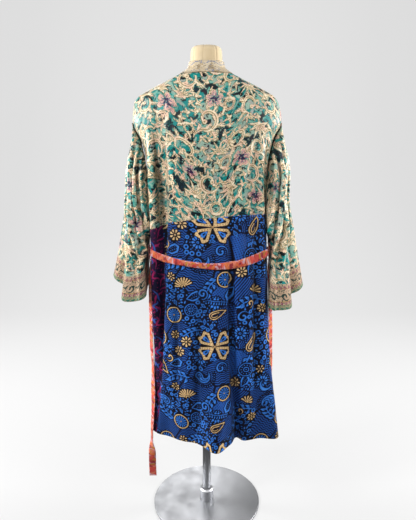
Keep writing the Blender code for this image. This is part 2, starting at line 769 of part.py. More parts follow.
def sleeve_corners(body, seams, side, heights):
    """A sleeve's corners at each height (out, back), and its two seam edges on the armhole."""
    rows = SLEEVES[side]
    corner = {}
    for name in ("inner", "back", "outer", "front"):
        reach = [read(rows, f"{name}_{way}", heights) for way in ("out", "back")]
        corner[name] = np.stack(reach, axis=-1)
    lift = below_arm(heights)[:, None]
    edges = []
    for panel, gap in (("back", SEAM_GAP), ("front", -SEAM_GAP)):
        share = side * seams.bound(panel, heights, side)
        on_body = body.surface.at(heights, share) + body.normal(heights, share) * ARMHOLE_LAP
        line = on_body[:, :2] * np.array([side, 1.0])
        at_underarm = [np.interp(UNDERARM, heights, line[:, axis]) for axis in range(2)]
        below = at_underarm * (1 - lift) + corner["inner"] * lift
        edge = np.where(heights[:, None] > UNDERARM, line, below)
        edges.append(edge + np.array([0.0, gap]))
    return corner["back"], corner["outer"], corner["front"], *edges


def sleeve_outlines(back, outer, front, first, last, places):
    """Outlines round a sleeve, with the places spread evenly along its back half and its front."""
    t = np.linspace(0, 1, SLEEVE_SPAN)[None, :, None]
    grid = np.empty((len(back), len(places), 2))
    halves = (
        ((front, first, back, outer), (first, back, outer, front), places <= 0),
        ((back, outer, front, last), (outer, front, last, back), places >= 0),
    )
    for near, far, mask in halves:
        pieces = [spline(*(p[:, None, :] for p in points), t) for points in (near, far)]
        line = np.concatenate([pieces[0], pieces[1][:, 1:]], axis=1)
        run = lengths(line)
        wanted = np.linspace(0, 1, int(mask.sum()))
        for i, length in enumerate(run[:, -1]):
            for axis in range(2):
                grid[i, mask, axis] = np.interp(wanted * length, run[i], line[i, :, axis])
    return grid


def sleeve_fold_depths(side, heights, places):
    """How far a sleeve's folds move each point of its outlines."""
    hang = np.clip((SLEEVE_FOLDS_FROM - heights) / SLEEVE_FOLDS_LENGTH, 0, 1)[:, None]
    early = np.clip((DROP_SEAM - heights) / (DROP_SEAM - UNDERARM), 0, 1)[:, None]
    depth = np.zeros((len(heights), len(places)))
    for fold in SLEEVE_FOLDS[side]:
        swell = fold.underarm * early + (fold.cuff - fold.underarm) * hang
        depth += swell * np.exp(-(((places[None, :] - fold.across) / fold.width) ** 2))
    return depth


def clear_of_body(body, side, heights, grid):
    """Moves a sleeve's points that would enter the robe's body out to just clear of it."""
    near = side * np.linspace(*SIDE_SHARES)
    clear = ARMHOLE_LAP + (SLEEVE_CLEAR - ARMHOLE_LAP) * below_arm(heights)
    for i, height in enumerate(heights):
        line = body.surface.at(height, near)
        beside = np.abs(line[None, :, 1] - grid[i, :, None, 1]) < BESIDE
        most = np.where(beside, side * line[None, :, 0], 0).max(axis=1)
        grid[i, :, 0] = np.where(most > 0, np.maximum(grid[i, :, 0], most + clear[i]), grid[i, :, 0])
    return grid


def sleeve_surface(body, seams, side):
    """A sleeve's outer surface: rows by height, columns by place across, -1 back to 1 front."""
    heights = np.arange(SLEEVES[side][-1].height - SLEEVE_PAST_CUFF, DROP_SEAM - GRID_STEP, GRID_STEP)
    places = np.linspace(-1, 1, SLEEVE_PLACES)
    grid = sleeve_outlines(*sleeve_corners(body, seams, side, heights), places)
    grid += outward(grid) * sleeve_fold_depths(side, heights, places)[..., None]
    grid = clear_of_body(body, side, heights, grid)
    return Surface(heights, places, grid * np.array([side, 1.0]))


def make_sleeve(body, seams, side, finish, columns=31, rows=12):
    """A sleeve: hangs from the armhole seam, closed under the arm, open at the cuff."""
    surface = sleeve_surface(body, seams, side)
    across = np.linspace(-1, 1, columns)[None, :]
    start = SLEEVE_TOP - (SLEEVE_TOP - UNDERARM) * np.abs(across)
    end = read(CUFFS, SIDE_NAMES[side], across, by="across")
    height = start + (end - start) * np.linspace(0, 1, rows)[:, None]
    spread = np.clip((SLEEVE_TOP - height) / (SLEEVE_TOP - UNDERARM), 1e-6, 1)
    points = surface.at(height, np.clip(across / spread, -1, 1))
    normals = grid_normals(points, points - points.mean(axis=(0, 1)))
    add_mesh(f"sleeve_{SIDE_NAMES[side]}", *wall(points, normals, CLOTH), finish)


def taut_line(points):
    """Corners of the tightest line round the back of the points, right to left."""
    line = []
    for x, y in sorted(map(tuple, points)):
        while len(line) > 1:
            (ax, ay), (bx, by) = line[-2:]
            if (bx - ax) * (y - ay) - (by - ay) * (x - ax) < 0:
                break
            line.pop()
        line.append((x, y))
    return np.array(line)


def belt_top(x):
    """Height of the belt's top edge: it hangs lowest near the centre back."""
    reach = np.where(x > BELT_SAG_AT, BELT_REACH_LEFT - BELT_SAG_AT, BELT_REACH_RIGHT + BELT_SAG_AT)
    away = np.clip(np.abs(x - BELT_SAG_AT) / reach, 0, 1)
    return BELT_TOP_SIDE - BELT_SAG * (1 - away**BELT_SAG_POWER)


def belt_line(body):
    """Line of the belt round the back, taut over the folds, from the right side's crest to the left's."""
    levels = np.linspace(BELT_TOP_SIDE - BELT_SAG - BELT_WIDTH, BELT_TOP_SIDE, 8)
    cloud = body.surface.at(levels[:, None], np.linspace(-1.0, 1.0, GUIDE_POINTS))[..., :2]
    return taut_line(cloud[cloud[..., 1] > GRID_STEP])


def belt_places(line, side):
    """How far out the side's crest lies, and the places (y) of the loop and of the hanging end there."""
    crest_x, crest_y = line[-1] if side > 0 else line[0]
    loop = crest_y - LOOP_PAST_CREST
    return abs(crest_x), loop, loop - (LOOP_WIDTH + BELT_WIDTH) / 2 - BELT_END_GAP


def side_reach(body, side, heights, middle, width):
    """How far out the robe reaches at each height, within a strip `width` wide at the place `middle`."""
    place = side * np.linspace(0.60, 1.45, 341)
    line = body.surface.at(heights[:, None], place[None, :])
    near = np.abs(line[..., 1] - np.reshape(middle, (-1, 1))) < width / 2 + GRID_STEP
    return np.where(near, np.abs(line[..., 0]), 0.0).max(axis=1)


def make_belt_back(body, finish, columns=57):
    """The tie belt's stretch round the back, through both side loops."""
    line = belt_line(body)
    fronts = [belt_places(line, side)[2] - BELT_WIDTH / 2 for side in (-1, 1)]
    line = np.array([(line[0][0], fronts[0]), *line, (line[-1][0], fronts[1])])
    run = lengths(line)
    steps = np.linspace(0, run[-1], columns)
    path = np.stack([np.interp(steps, run, line[:, axis]) for axis in range(2)], axis=-1)
    for _ in range(3):
        path[1:-1] = 0.25 * path[:-2] + 0.5 * path[1:-1] + 0.25 * path[2:]
    out = outward(path)
    path = path + out * (BELT_STANDOFF + BELT_CLOTH)
    drop = np.array([0.0, BELT_WIDTH / 2, BELT_WIDTH])[:, None]
    height = belt_top(path[:, 0]) - drop
    points = np.concatenate([np.broadcast_to(path, (3, columns, 2)), height[..., None]], axis=-1)
    normals = np.zeros_like(points)
    normals[..., :2] = out
    add_mesh("belt_back", *wall(points, normals, BELT_CLOTH), finish)


def ease(start, end, at):
    """Goes smoothly from 0 at `start` to 1 at `end`."""
    t = np.clip((at - start) / (end - start), 0, 1)
    return t * t * (3 - 2 * t)


def make_belt_end(body, side, finish, rows=34):
    """One end of the belt: hangs from its loop down the side of the skirt, and turns below the hem."""
    end = BELT_END_LEFT if side > 0 else BELT_END_RIGHT
    drift = 0.0 if side > 0 else BELT_DRIFT
    height = np.linspace(BELT_END_TOP, end, rows)
    crest, _, middle = belt_places(belt_line(body), side)
    middle = middle - drift * ease(BELT_DRIFT_FROM, BELT_DRIFT_TO, height)
    off = BELT_STANDOFF + BELT_CLOTH
    on_belt = np.where(height > BELT_TOP_SIDE - 2 * BELT_WIDTH, crest + off + SEAM_GAP + BELT_CLOTH, 0)
    reach = side_reach(body, side, np.maximum(height, HEM), middle, BELT_WIDTH) + off
    out = np.maximum(reach, on_belt)
    out = np.maximum.accumulate(out) if side > 0 else out
    angle = ease(BELT_TWIST_FROM, BELT_TWIST_TO, height) * math.pi / 2
    along = BELT_WIDTH * np.array([-0.5, 0.0, 0.5])[:, None]
    x = side * (out - along * np.sin(angle))
    y = middle + along * np.cos(angle)
    points = np.stack(np.broadcast_arrays(x, y, height), axis=-1)
    normals = np.zeros_like(points)
    normals[..., 0] = side * np.cos(angle)
    normals[..., 1] = np.sin(angle)
    add_mesh(f"belt_end_{SIDE_NAMES[side]}", *wall(points, normals, BELT_CLOTH), finish)


def make_belt_loop(body, side, finish):
    """A narrow loop of cloth at a side seam, standing round the belt."""
    top = BELT_TOP_SIDE + 0.5 * (LOOP_HEIGHT - BELT_WIDTH)
    bottom = top - LOOP_HEIGHT
    _, middle, _ = belt_places(belt_line(body), side)
    reach = side_reach(body, side, np.array([top, bottom]), middle, LOOP_WIDTH)
    start, stop = reach + SEAM_GAP
    outer = max(start, stop) + LOOP_DEPTH
    turn = outer - LOOP_TURN
    side_on = (
        (start, top),
        (turn, top - LOOP_SHOULDER),
        (outer, top - LOOP_CORNER),
        (outer, bottom + LOOP_CORNER),
        (turn, bottom + LOOP_SHOULDER),
        (stop, bottom),
    )
    line = np.array(side_on)
    run = np.gradient(line, axis=0)
    normal = unit(np.stack([-run[:, 1], run[:, 0]], axis=-1))
    normal *= np.sign((normal * (line - line.mean(axis=0))).sum(axis=-1).mean())
    line = line + normal * CLOTH
    across = middle + LOOP_WIDTH * np.array([-0.5, 0.5])[:, None]
    points = np.stack(np.broadcast_arrays(side * line[:, 0], across, line[:, 1]), axis=-1)
    normals = np.zeros_like(points)
    normals[..., 0] = side * normal[:, 0]
    normals[..., 2] = normal[:, 1]
    add_mesh(f"belt_loop_{SIDE_NAMES[side]}", *wall(points, normals, CLOTH), finish)


def ring_faces(rings, segments):
    """Quads between rings of points, and a cap on the first and the last."""
    index = np.arange(rings * segments).reshape(rings, segments)
    after = np.roll(index, -1, axis=1)
    faces = [tuple(index[0]), tuple(index[-1])]
    for i in range(rings - 1):
        faces += zip(index[i], after[i], after[i + 1], index[i + 1])
    return faces


def make_form(finish, segments=30, longest=0.05):
    """The dress form: a smooth limbless torso with a neck, closed at both ends."""
    sections = sorted(FORM_SECTIONS, key=lambda section: section.height)
    heights = []
    for low, high in zip(sections[:-1], sections[1:]):
        steps = max(1, round((high.height - low.height) / longest))
        heights += [low.height + (high.height - low.height) * k / steps for k in range(steps)]
    heights = np.array([*heights, sections[-1].height])
    angle = np.linspace(0, 2 * math.pi, segments, endpoint=False)[None, :]
    size = [read(FORM_SECTIONS, name, heights)[:, None] for name in ("half_width", "back", "front")]
    rings = oval(angle, *size, FORM_POWER)
    points = [(x, y, z) for ring, z in zip(rings, heights) for x, y in ring]
    add_mesh("dress_form", points, ring_faces(len(heights), segments), finish, smooth_angle=60.0)


def make_turned(name, profile, finish, segments):
    """A solid turned about the stand's axis from (radius, height) points, bottom to top."""
    angle = np.linspace(0, 2 * math.pi, segments, endpoint=False)
    points = [(r * math.cos(a), r * math.sin(a), z) for r, z in profile for a in angle]
    add_mesh(name, points, ring_faces(len(profile), segments), finish)


def make_stand(finish):
    """Pole with a foot collar, and the round base that the part stands on."""
    edge = BASE_THICKNESS - BASE_BEVEL
    base = ((BASE_RADIUS, 0.0), (BASE_RADIUS, edge), (BASE_RADIUS - BASE_BEVEL, BASE_THICKNESS))
    make_turned("stand_base", base, finish, segments=56)
    foot = BASE_THICKNESS + SEAM_GAP
    pole = (
        (COLLAR_RADIUS, foot),
        (COLLAR_RADIUS, foot + COLLAR_HEIGHT - COLLAR_BEVEL),
        (COLLAR_RADIUS - COLLAR_BEVEL, foot + COLLAR_HEIGHT),
        (POLE_RADIUS, foot + COLLAR_HEIGHT + 0.002),
        (POLE_RADIUS, FORM_BOTTOM - SEAM_GAP),
    )
    make_turned("stand_pole", pole, finish, segments=24)


def make_finish(name, colour, roughness, metallic=0.0):
    """A plain surface in linear colour."""
    finish = bpy.data.materials.new(name)
    finish.use_nodes = True
    shader = finish.node_tree.nodes["Principled BSDF"]
    shader.inputs["Base Color"].default_value = (*colour, 1.0)
    shader.inputs["Roughness"].default_value = roughness
    shader.inputs["Metallic"].default_value = metallic
    return finish


def clear_scene():
    """Removes whatever the file holds."""
    for obj in list(bpy.data.objects):
        bpy.data.objects.remove(obj, do_unlink=True)


def main():
    """Builds the dress form, its stand and the robe on it."""
    clear_scene()
    floral = make_finish("floral_silk", (0.46, 0.45, 0.36), 0.55)
    blue = make_finish("blue_silk", (0.02, 0.06, 0.22), 0.50)
    plum = make_finish("plum_silk", (0.10, 0.02, 0.09), 0.50)
    coral = make_finish("coral_silk", (0.70, 0.22, 0.12), 0.50)
    ivory = make_finish("ivory_silk", (0.60, 0.55, 0.44), 0.55)
    cream = make_finish("form_cover", (0.74, 0.60, 0.42), 0.80)
    steel = make_finish("stand_steel", (0.55, 0.55, 0.56), 0.35, metallic=1.0)
    body = Body()
    seams = Seams(body)
    make_form(cream)
    make_stand(steel)
    make_back_upper(body, seams, floral)
    make_back_lower(body, seams, blue)
    for side in (1, -1):
        make_front_upper(body, seams, side, floral)
        make_front_lower(body, seams, side, plum)
        make_sleeve(body, seams, side, floral)
    make_neckband(body, ivory)
    make_belt_back(body, coral)
    for side in (1, -1):
        make_belt_end(body, side, coral)
        make_belt_loop(body, side, coral)


main()
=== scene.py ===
"""Looks of the kimono robe on its dress form: printed silks, seams, creases, stand and studio.

Lengths are metres unless a comment says mm. The part faces -y, and its left is +x. A share is a
place round the body: 0 at the centre back, 1 at the left side and 2 at the centre front, and below
zero the same on the right. Across is a place round a sleeve: -1 at the back of its seam, 0 at its
top fold and 1 at the front of its seam.
"""

import functools
import logging
import math
from dataclasses import dataclass
from enum import Enum
from typing import Any, Callable, Iterator, NamedTuple, Sequence

import bpy
import numpy as np
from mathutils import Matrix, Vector


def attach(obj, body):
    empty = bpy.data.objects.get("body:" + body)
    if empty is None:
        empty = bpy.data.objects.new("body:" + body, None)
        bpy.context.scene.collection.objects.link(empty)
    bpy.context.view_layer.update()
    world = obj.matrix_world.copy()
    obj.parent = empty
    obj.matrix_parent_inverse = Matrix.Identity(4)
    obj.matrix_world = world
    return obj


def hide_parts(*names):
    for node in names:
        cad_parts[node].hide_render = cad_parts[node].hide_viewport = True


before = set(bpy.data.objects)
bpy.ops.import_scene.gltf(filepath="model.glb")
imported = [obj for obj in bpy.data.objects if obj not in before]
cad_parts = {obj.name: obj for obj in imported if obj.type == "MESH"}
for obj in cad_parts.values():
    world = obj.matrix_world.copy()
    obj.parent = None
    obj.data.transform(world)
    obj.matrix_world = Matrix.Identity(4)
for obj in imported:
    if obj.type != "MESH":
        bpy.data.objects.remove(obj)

log = logging.getLogger("kimono")

Array = np.ndarray
Value = float | Array
Socket = bpy.types.NodeSocket
Colour = tuple[float, float, float, float] | Socket
Point = tuple[float, float]

MM = 1000.0
SIDES = {1: "left", -1: "right"}
CLOTH = 0.0012  # thickness of the body's and the sleeves' silk
SEAM_GAP = 0.0003
ARMHOLE_LAP = CLOTH + 0.0014
NECK_SEAM = 1.468
DROP_SEAM = 1.335
UNDERARM = 1.110
HEM = 0.300
BAND_BACK_EDGE = 1.501  # height of the neckband's rolled edge at the centre back
BELT_TOP = 0.951  # height of the belt's top edge at the sides
GRID_STEP = 0.002
GUIDE_POINTS = 401
NO_EDGE = 99.0  # mm: written where a piece has no hem


def through(knots: Sequence[float] | Array, values: Sequence[float] | Array, at: Value) -> Array:
    """Smooth curve through some knots, with no overshoot.

    Args:
        knots: Where the values belong, in any order.
        values: The curve's value at each knot.
        at: Where to read the curve; beyond the knots it stays level.

    Returns:
        The curve's value at each of `at`.
    """
    order = np.argsort(knots)
    knots = np.asarray(knots, float)[order]
    values = np.asarray(values, float)[order]
    step = np.diff(knots)
    slope = np.diff(values) / step
    before, after = slope[:-1], slope[1:]
    same_way = before * after > 0
    inner = np.where(same_way, 2 * before * after / np.where(same_way, before + after, 1.0), 0.0)
    tangent = np.concatenate([slope[:1], inner, slope[-1:]])
    at = np.clip(at, knots[0], knots[-1])
    cell = np.clip(np.searchsorted(knots, at, side="right") - 1, 0, len(step) - 1)
    run = step[cell]
    t = (at - knots[cell]) / run
    rise = values[cell] * (1 + 2 * t) * (1 - t) ** 2 + values[cell + 1] * (3 - 2 * t) * t**2
    return rise + run * t * (1 - t) * (tangent[cell] * (1 - t) - tangent[cell + 1] * t)


class Table:
    """A design table, with lengths written in mm and kept in metres."""

    def __init__(self, columns: str, *rows: tuple[float, ...], plain: str = "") -> None:
        """Keeps the rows by their columns' names; those in `plain` hold plain numbers, not lengths."""
        pairs = zip(columns.split(), np.array(rows, float).T)
        self.columns = {name: row if name in plain.split() else row / MM for name, row in pairs}

    def read(self, name: str, at: Value, by: str = "height") -> Array:
        """The column `name` where the column `by` is `at`, smooth between the rows."""
        return through(self.columns[by], self.columns[name], at)

    def rows(self) -> Iterator[tuple[float, ...]]:
        """The table's rows, in metres."""
        return zip(*self.columns.values())


# Level sections of the dress form, from the neck down
FORM = Table(
    "height half_width back front",
    (1547.5, 20, 20, 20), (1544, 36, 36, 36), (1536, 44, 44, 44), (1520, 46.2, 46.5, 46.5),
    (1500, 47, 47.5, 47.5), (1482, 51, 51, 50), (1475, 59, 54.5, 52.5), (1468, 70.5, 59, 56),
    (1459, 88.5, 65, 61.2), (1450, 106, 70, 66), (1435, 137, 77.5, 73.5), (1420, 166.5, 84, 80),
    (1408, 188, 89, 86), (1390, 200, 94, 91), (1360, 204, 99, 97), (1330, 200, 103, 103),
    (1280, 184, 106, 112), (1200, 160, 103, 121), (1070, 122, 82, 92), (960, 140, 96, 97),
    (880, 153, 100, 97), (840, 152, 98, 93), (823, 144, 91, 85), (815, 130, 76, 70),
)

# Level sections of the robe round the body before its folds; power squares the corners off
ROBE = Table(
    "height left right back front power",
    (1420, 168, 168, 85, 81, 2.3), (1406, 200, 199, 91.5, 88.5, 2.3), (1384, 216, 215.5, 97.5, 95.5, 2.3),
    (1335, 222.5, 226, 106, 108, 2.4), (1280, 201, 204, 110, 118, 2.5), (1200, 183, 186, 111, 127, 2.6),
    (1110, 172, 176, 111, 129, 2.7), (1020, 168, 178, 111, 127, 2.8), (950, 170, 182, 112, 126, 2.8),
    (700, 173, 191, 111, 124, 2.8), (470, 180, 208, 106, 124, 2.7), (300, 192, 226, 102, 126, 2.6),
    plain="power",
)

# Crests (+) and troughs (-) down the robe: where each runs round from the centre back at arm, waist
# and hem, left positive, its width, and its depth at each of these heights
FOLD_HEIGHTS = (1.300, UNDERARM, 1.020, 0.620, HEM)
FOLDS = Table(
    "at_arm at_waist at_hem width yoke arm waist knee hem",
    (136, 138, 200, 15, -8, -28, -30, -18, -4),  # left side valley
    (172, 172, 190, 20, 0, 14, 15, 6, 0),  # left flute
    (85, 92, 80, 32, 0, 4, 5, 6, 0),  # left back roll
    (120, 120, 140, 50, 0, 0, 0, -6, -20),  # left hem hollow
    (0, -15, -30, 43, 0, 0, 2, 14, 64),  # centre flute
    (-75, -78, -102, 13, 0, 0, -3, -14, -26),  # centre crease
    (-130, -130, -150, 30, 0, 3, 4, 3, 0),  # right back roll
    (-188, -190, -222, 26, 0, 12, 14, 18, 40),  # right corner
    (-245, -250, -300, 24, 0, -10, -17, -10, -6),  # right side trough
    (-315, -320, -360, 25, 0, 10, 10, 14, 22),  # right front crest
    (-372, -378, -425, 22, 0, -4, -8, -12, -18),  # right front trough
    (232, 230, 262, 20, 0, -8, -10, -8, -4),  # left side trough
    (290, 292, 320, 24, 0, 10, 11, 14, 20),  # left front crest
    (345, 350, 378, 21, 0, -4, -8, -13, -18),  # left front trough
)

# Where the panels meet: shares of the side seams and armholes, and the waist seam's height by share
SIDE_SEAMS = Table(
    "height left right",
    (1110, 0.93, 0.96), (1080, 0.81, 0.98), (1035, 0.635, 1), (950, 0.625, 1.03), (700, 0.665, 1.06),
    (470, 0.715, 1.08), (300, 0.8, 1.1),
    plain="left right",
)
ARMHOLES = Table(
    "height back_left front_left back_right front_right",
    (1335, 1, 1, 1, 1), (1270, 0.91, 1.09, 0.9, 1.12), (1190, 0.86, 1.05, 0.86, 1.09),
    (1110, 0.93, 0.93, 0.96, 0.96),
    plain="back_left front_left back_right front_right",
)
WAIST = Table(
    "share height",
    (-2, 1030), (-1, 1052), (-0.5, 1061), (0, 1052), (0.45, 1040), (0.8, 1010), (1.2, 1012), (2, 1030),
    plain="share",
)

# The neckband's two edges in front: heights, and distances from the centre line
BAND = Table(
    "seam_height seam_x edge_height edge_x",
    (1468, 72.7, 1500.5, 49), (1454, 76, 1484, 46), (1435, 78.5, 1458, 43), (1410, 81, 1425, 42),
    (1370, 85, 1375, 45), (1300, 90, 1300, 50), (1110, 97, 1110, 57), (700, 100, 700, 60),
    (300, 104, 300, 64),
)

# Level sections of each hanging sleeve by its corners, measured outwards and backwards
CORNERS = "height inner_out inner_back back_out back_back outer_out outer_back front_out front_back"
SLEEVES = {
    1: Table(
        CORNERS,
        (1330, 220, 0, 223.2, 12, 224, 0, 223.2, -12), (1260, 199, 0, 220, 46, 231, 0, 219, -48),
        (1210, 190, 0, 218, 60, 243, 0, 218, -62), (1110, 176, 20, 212, 70, 252, 0, 214, -76),
        (1070, 168, 34, 212, 74, 257, 0, 215, -82), (1005, 172, 30, 213, 79, 272, -18, 216.9, -92),
        (970, 186, 0, 213.4, 81, 280, -28, 217.8, -98), (930, 188, -4, 214, 84, 289, -40, 219, -104),
        (780, 190, -10, 214, 94, 331, -85, 230, -128),
    ),
    -1: Table(
        CORNERS,
        (1330, 223, 0, 226.2, 12, 227, 0, 226.2, -12), (1260, 202, 0, 226, 46, 242, 0, 223, -48),
        (1210, 193, 0, 228, 60, 251, 0, 222, -62), (1110, 180, 4, 220, 70, 260, 0, 220, -76),
        (1070, 174, 34, 220, 72, 264, 0, 222, -82), (1005, 185, 30, 219, 77, 280, -18, 225.5, -92),
        (970, 206.5, -3, 218.6, 79, 288, -28, 227, -98), (930, 208, -4, 218, 82, 297.5, -40, 229, -104),
        (750, 212, -10, 218, 98, 341, -85, 242, -128),
    ),
}

# Heights of the cuffs round each sleeve
CUFFS = Table(
    "across left right",
    (-1, 828, 768), (-0.7, 796, 760), (-0.48, 778, 753), (-0.28, 803, 772), (0, 832, 796),
    (0.45, 812, 778), (1, 828, 768),
    plain="across",
)

# Crests and troughs down each sleeve: place, width, and depth at the underarm and at the cuff
SLEEVE_FOLDS = {
    1: Table(
        "across width underarm cuff",
        (-0.74, 0.06, 3, 6),  # inner back crest
        (-0.61, 0.05, -4, -8),  # back trough
        (-0.45, 0.08, 3, 14),  # back crest
        (-0.26, 0.085, -4, -26),  # outer trough
        (0.2, 0.07, 2, 8),  # front crest
        (0.45, 0.07, -3, -12),  # front trough
        (0.72, 0.08, 2, 6),  # inner front crest
        plain="across width",
    ),
    -1: Table(
        "across width underarm cuff",
        (-0.78, 0.07, 2, 10),  # inner back crest
        (-0.63, 0.05, -3, -8),  # back trough
        (-0.46, 0.08, 4, 10),  # back crest
        (-0.27, 0.085, -5, -28),  # outer trough
        (0.22, 0.07, 2, 8),  # front crest
        (0.47, 0.07, -4, -12),  # front trough
        (0.74, 0.08, 2, 6),  # inner front crest
        plain="across width",
    ),
}

# Soft ridges (+) and troughs (-) from one place to another: distance round and height of both ends,
# width, depth, and how far the line bows aside
CREASE = "x z end_x end_z width depth bow"
BODY_CREASES = Table(
    CREASE,
    (158, 1310, 150, 962, 5.8, -15, -4), (176, 1310, 170, 966, 8.5, 6.8, -4),
    (190, 1270, 188, 1000, 5, -7, -3), (138, 1270, 132, 990, 9, 5, -3),
    (151, 940, 166, 480, 7.5, -9.5, 3), (176, 930, 186, 440, 8, 5, 3),
    (-190, 1280, -196, 1030, 7, -10, 3), (-170, 1270, -174, 1010, 8, 4.6, 3),
    (-72, 1045, -88, 440, 6.5, -10, 4), (-94, 1020, -112, 400, 11, 6, 4),
    (-150, 1050, -158, 480, 7.5, -9, -3), (-172, 1040, -184, 440, 8, 5, -3), (14, 880, 30, 340, 9, -8, 6),
    (50, 930, 64, 360, 12, 5.4, 4), (96, 900, 104, 400, 8.5, -6.4, -4), (-24, 900, -30, 420, 11, 5, 4),
    (-122, 900, -136, 380, 10, 5, -5), (128, 1300, 105, 1120, 10, -3, 8),
    (105, 1250, 70, 1070, 11, 2.6, 6), (-145, 1290, -110, 1110, 10, -3.2, -6),
    (-115, 1210, -85, 1075, 11, 2.6, -6), (60, 1435, 140, 1330, 11, 2.4, 6),
    (44, 1425, 108, 1300, 10, -2.6, 6), (-60, 1435, -146, 1330, 11, 2.4, -6),
    (-44, 1425, -112, 1300, 10, -2.6, -6), (10, 1410, 16, 1290, 12, 2, 4),
    (30, 1190, -40, 1070, 12, -2.8, 4), (60, 1160, 0, 1062, 11, 2.4, 4), (50, 1040, 44, 950, 7, -3.6, 0),
    (26, 1045, 24, 940, 8, 3, 0), (-16, 1050, -12, 940, 7, -3.4, 0), (-46, 1055, -50, 940, 8, 3, 0),
    (-118, 1058, -122, 950, 7, -3.6, 0), (92, 1020, 90, 940, 7, -3.4, 0),
    (240, 1020, 250, 500, 12, 4.6, 6), (278, 1000, 290, 420, 9, -7, 5), (320, 1000, 330, 520, 13, 4.4, 5),
    (-232, 1020, -240, 460, 9, -7, -4), (-270, 1020, -280, 520, 13, 4.6, -6),
    (-325, 1000, -345, 480, 9, -6.6, -5), (300, 1330, 330, 1120, 10, -4, 6),
    (270, 1300, 296, 1100, 10, 3.4, 6), (-310, 1330, -345, 1120, 10, -4, -6),
    (-280, 1300, -308, 1100, 10, 3.4, -6),
)
SLEEVE_CREASES = {
    1: Table(
        CREASE,
        (-88, 1250, -248, 960, 6, 8.8, -6), (-72, 1262, -232, 940, 4.8, -10.5, -6),
        (-58, 1272, -214, 900, 5.6, 10.7, -7), (-46, 1280, -196, 920, 4.8, -11.2, -7),
        (-34, 1286, -178, 870, 5.8, 10, -6), (-22, 1286, -158, 900, 5, -10.7, -6),
        (-8, 1280, -136, 860, 6.4, 8.8, -6), (6, 1270, -110, 880, 5.6, -8.3, -5),
        (20, 1250, -80, 900, 7, 6.3, -5), (-206, 1020, -150, 880, 8, -5, 8),
        (-222, 985, -170, 850, 8, 4.5, 8), (60, 1260, 130, 900, 6.4, 8.3, 5),
        (78, 1250, 152, 880, 5, -10, 5), (96, 1240, 176, 870, 6, 9, 5), (116, 1225, 200, 880, 5, -9.3, 5),
        (140, 1200, 224, 900, 6.4, 7.5, 5),
    ),
    -1: Table(
        CREASE,
        (-86, 1250, -244, 930, 6, 8.8, -6), (-70, 1262, -226, 900, 4.8, -10.7, -6),
        (-54, 1275, -206, 870, 5.6, 9.7, -7), (-40, 1282, -186, 850, 5, -11, -7),
        (-24, 1286, -162, 850, 6, 9.3, -6), (-8, 1280, -138, 860, 5.4, -9.7, -6),
        (8, 1272, -112, 860, 6.6, 8, -6), (24, 1250, -84, 900, 5.8, -7, -5),
        (-200, 1000, -146, 870, 8, -5, 8), (62, 1260, 134, 880, 6.4, 8.3, 5),
        (80, 1250, 156, 860, 5, -10, 5), (100, 1240, 180, 850, 6, 8.8, 5),
        (120, 1220, 204, 860, 5.2, -9.3, 5), (144, 1200, 228, 880, 6.6, 7.5, 5),
    ),
}


def unit(vectors: Array) -> Array:
    """The same directions with unit length."""
    return vectors / np.maximum(np.linalg.norm(vectors, axis=-1, keepdims=True), 1e-12)


def ease(start: float, end: float, at: Value) -> Array:
    """Goes smoothly from 0 at `start` to 1 at `end`."""
    t = np.clip((at - start) / (end - start), 0, 1)
    return t * t * (3 - 2 * t)


def hump(away: Value, width: float) -> Array:
    """A soft hump: 1 in its middle, and next to nothing two widths away."""
    return np.exp(-((away / width) ** 2))


def oval(angle: Array, half_width: Value, back: Value, front: Value, power: Value) -> Array:
    """Outline of a level section, squarer than an ellipse.

    Args:
        angle: Places round it: 0 is the centre back and a quarter turn the left side.
        half_width: Half its width.
        back: Its depth behind.
        front: Its depth in front.
        power: How square it is; 2 is an ellipse.

    Returns:
        Points (x, y).
    """
    sine, cosine = np.sin(angle), np.cos(angle)
    x = half_width * np.sign(sine) * np.abs(sine) ** (2 / power)
    y = np.where(cosine >= 0, back, front) * np.sign(cosine) * np.abs(cosine) ** (2 / power)
    return np.stack([x, y], axis=-1)


def outward(points: Array) -> Array:
    """Outward unit normals of outlines that run from the right front by the back to the left."""
    run = np.gradient(points, axis=-2)
    return unit(np.stack([-run[..., 1], run[..., 0]], axis=-1))


def lengths(points: Array) -> Array:
    """Distance along each outline from its first point."""
    step = np.linalg.norm(np.diff(points, axis=-2), axis=-1)
    return np.concatenate([np.zeros(step.shape[:-1] + (1,)), np.cumsum(step, axis=-1)], axis=-1)


def even(points: Array, count: int) -> Array:
    """Places in 0..1 that share the length of a sampled line evenly."""
    run = lengths(points)
    return np.interp(np.linspace(0, run[-1], count), run, np.linspace(0, 1, len(points)))


def resampled(line: Array, run: Array, steps: Array) -> Array:
    """A line's points at set distances along it, where `run` is the distance of its own points."""
    return np.stack([np.interp(steps, run, line[:, axis]) for axis in range(2)], axis=-1)


def smoothed(values: Array, rounds: int) -> Array:
    """A row of values with its kinks rubbed out, its ends kept.

    Args:
        values: The row.
        rounds: How often it is rubbed.

    Returns:
        The smoother row.
    """
    for _ in range(rounds):
        values = np.concatenate([values[:1], (values[:-2] + 2 * values[1:-1] + values[2:]) / 4, values[-1:]])
    return values


def spline(p0: Array, p1: Array, p2: Array, p3: Array, t: Array) -> Array:
    """Smooth curve from p1 to p2, led by the points before and after them."""
    bend = (2 * p0 - 5 * p1 + 4 * p2 - p3) * t**2 + (3 * p1 - p0 - 3 * p2 + p3) * t**3
    return 0.5 * (2 * p1 + (p2 - p0) * t + bend)


def grid_normals(points: Array, outwards: Array) -> Array:
    """Unit normals of a grid, on the side that `outwards` gives for its points on the whole."""
    normal = unit(np.cross(np.gradient(points, axis=0), np.gradient(points, axis=1)))
    return normal * np.sign(np.sum(normal * outwards, axis=-1).mean())


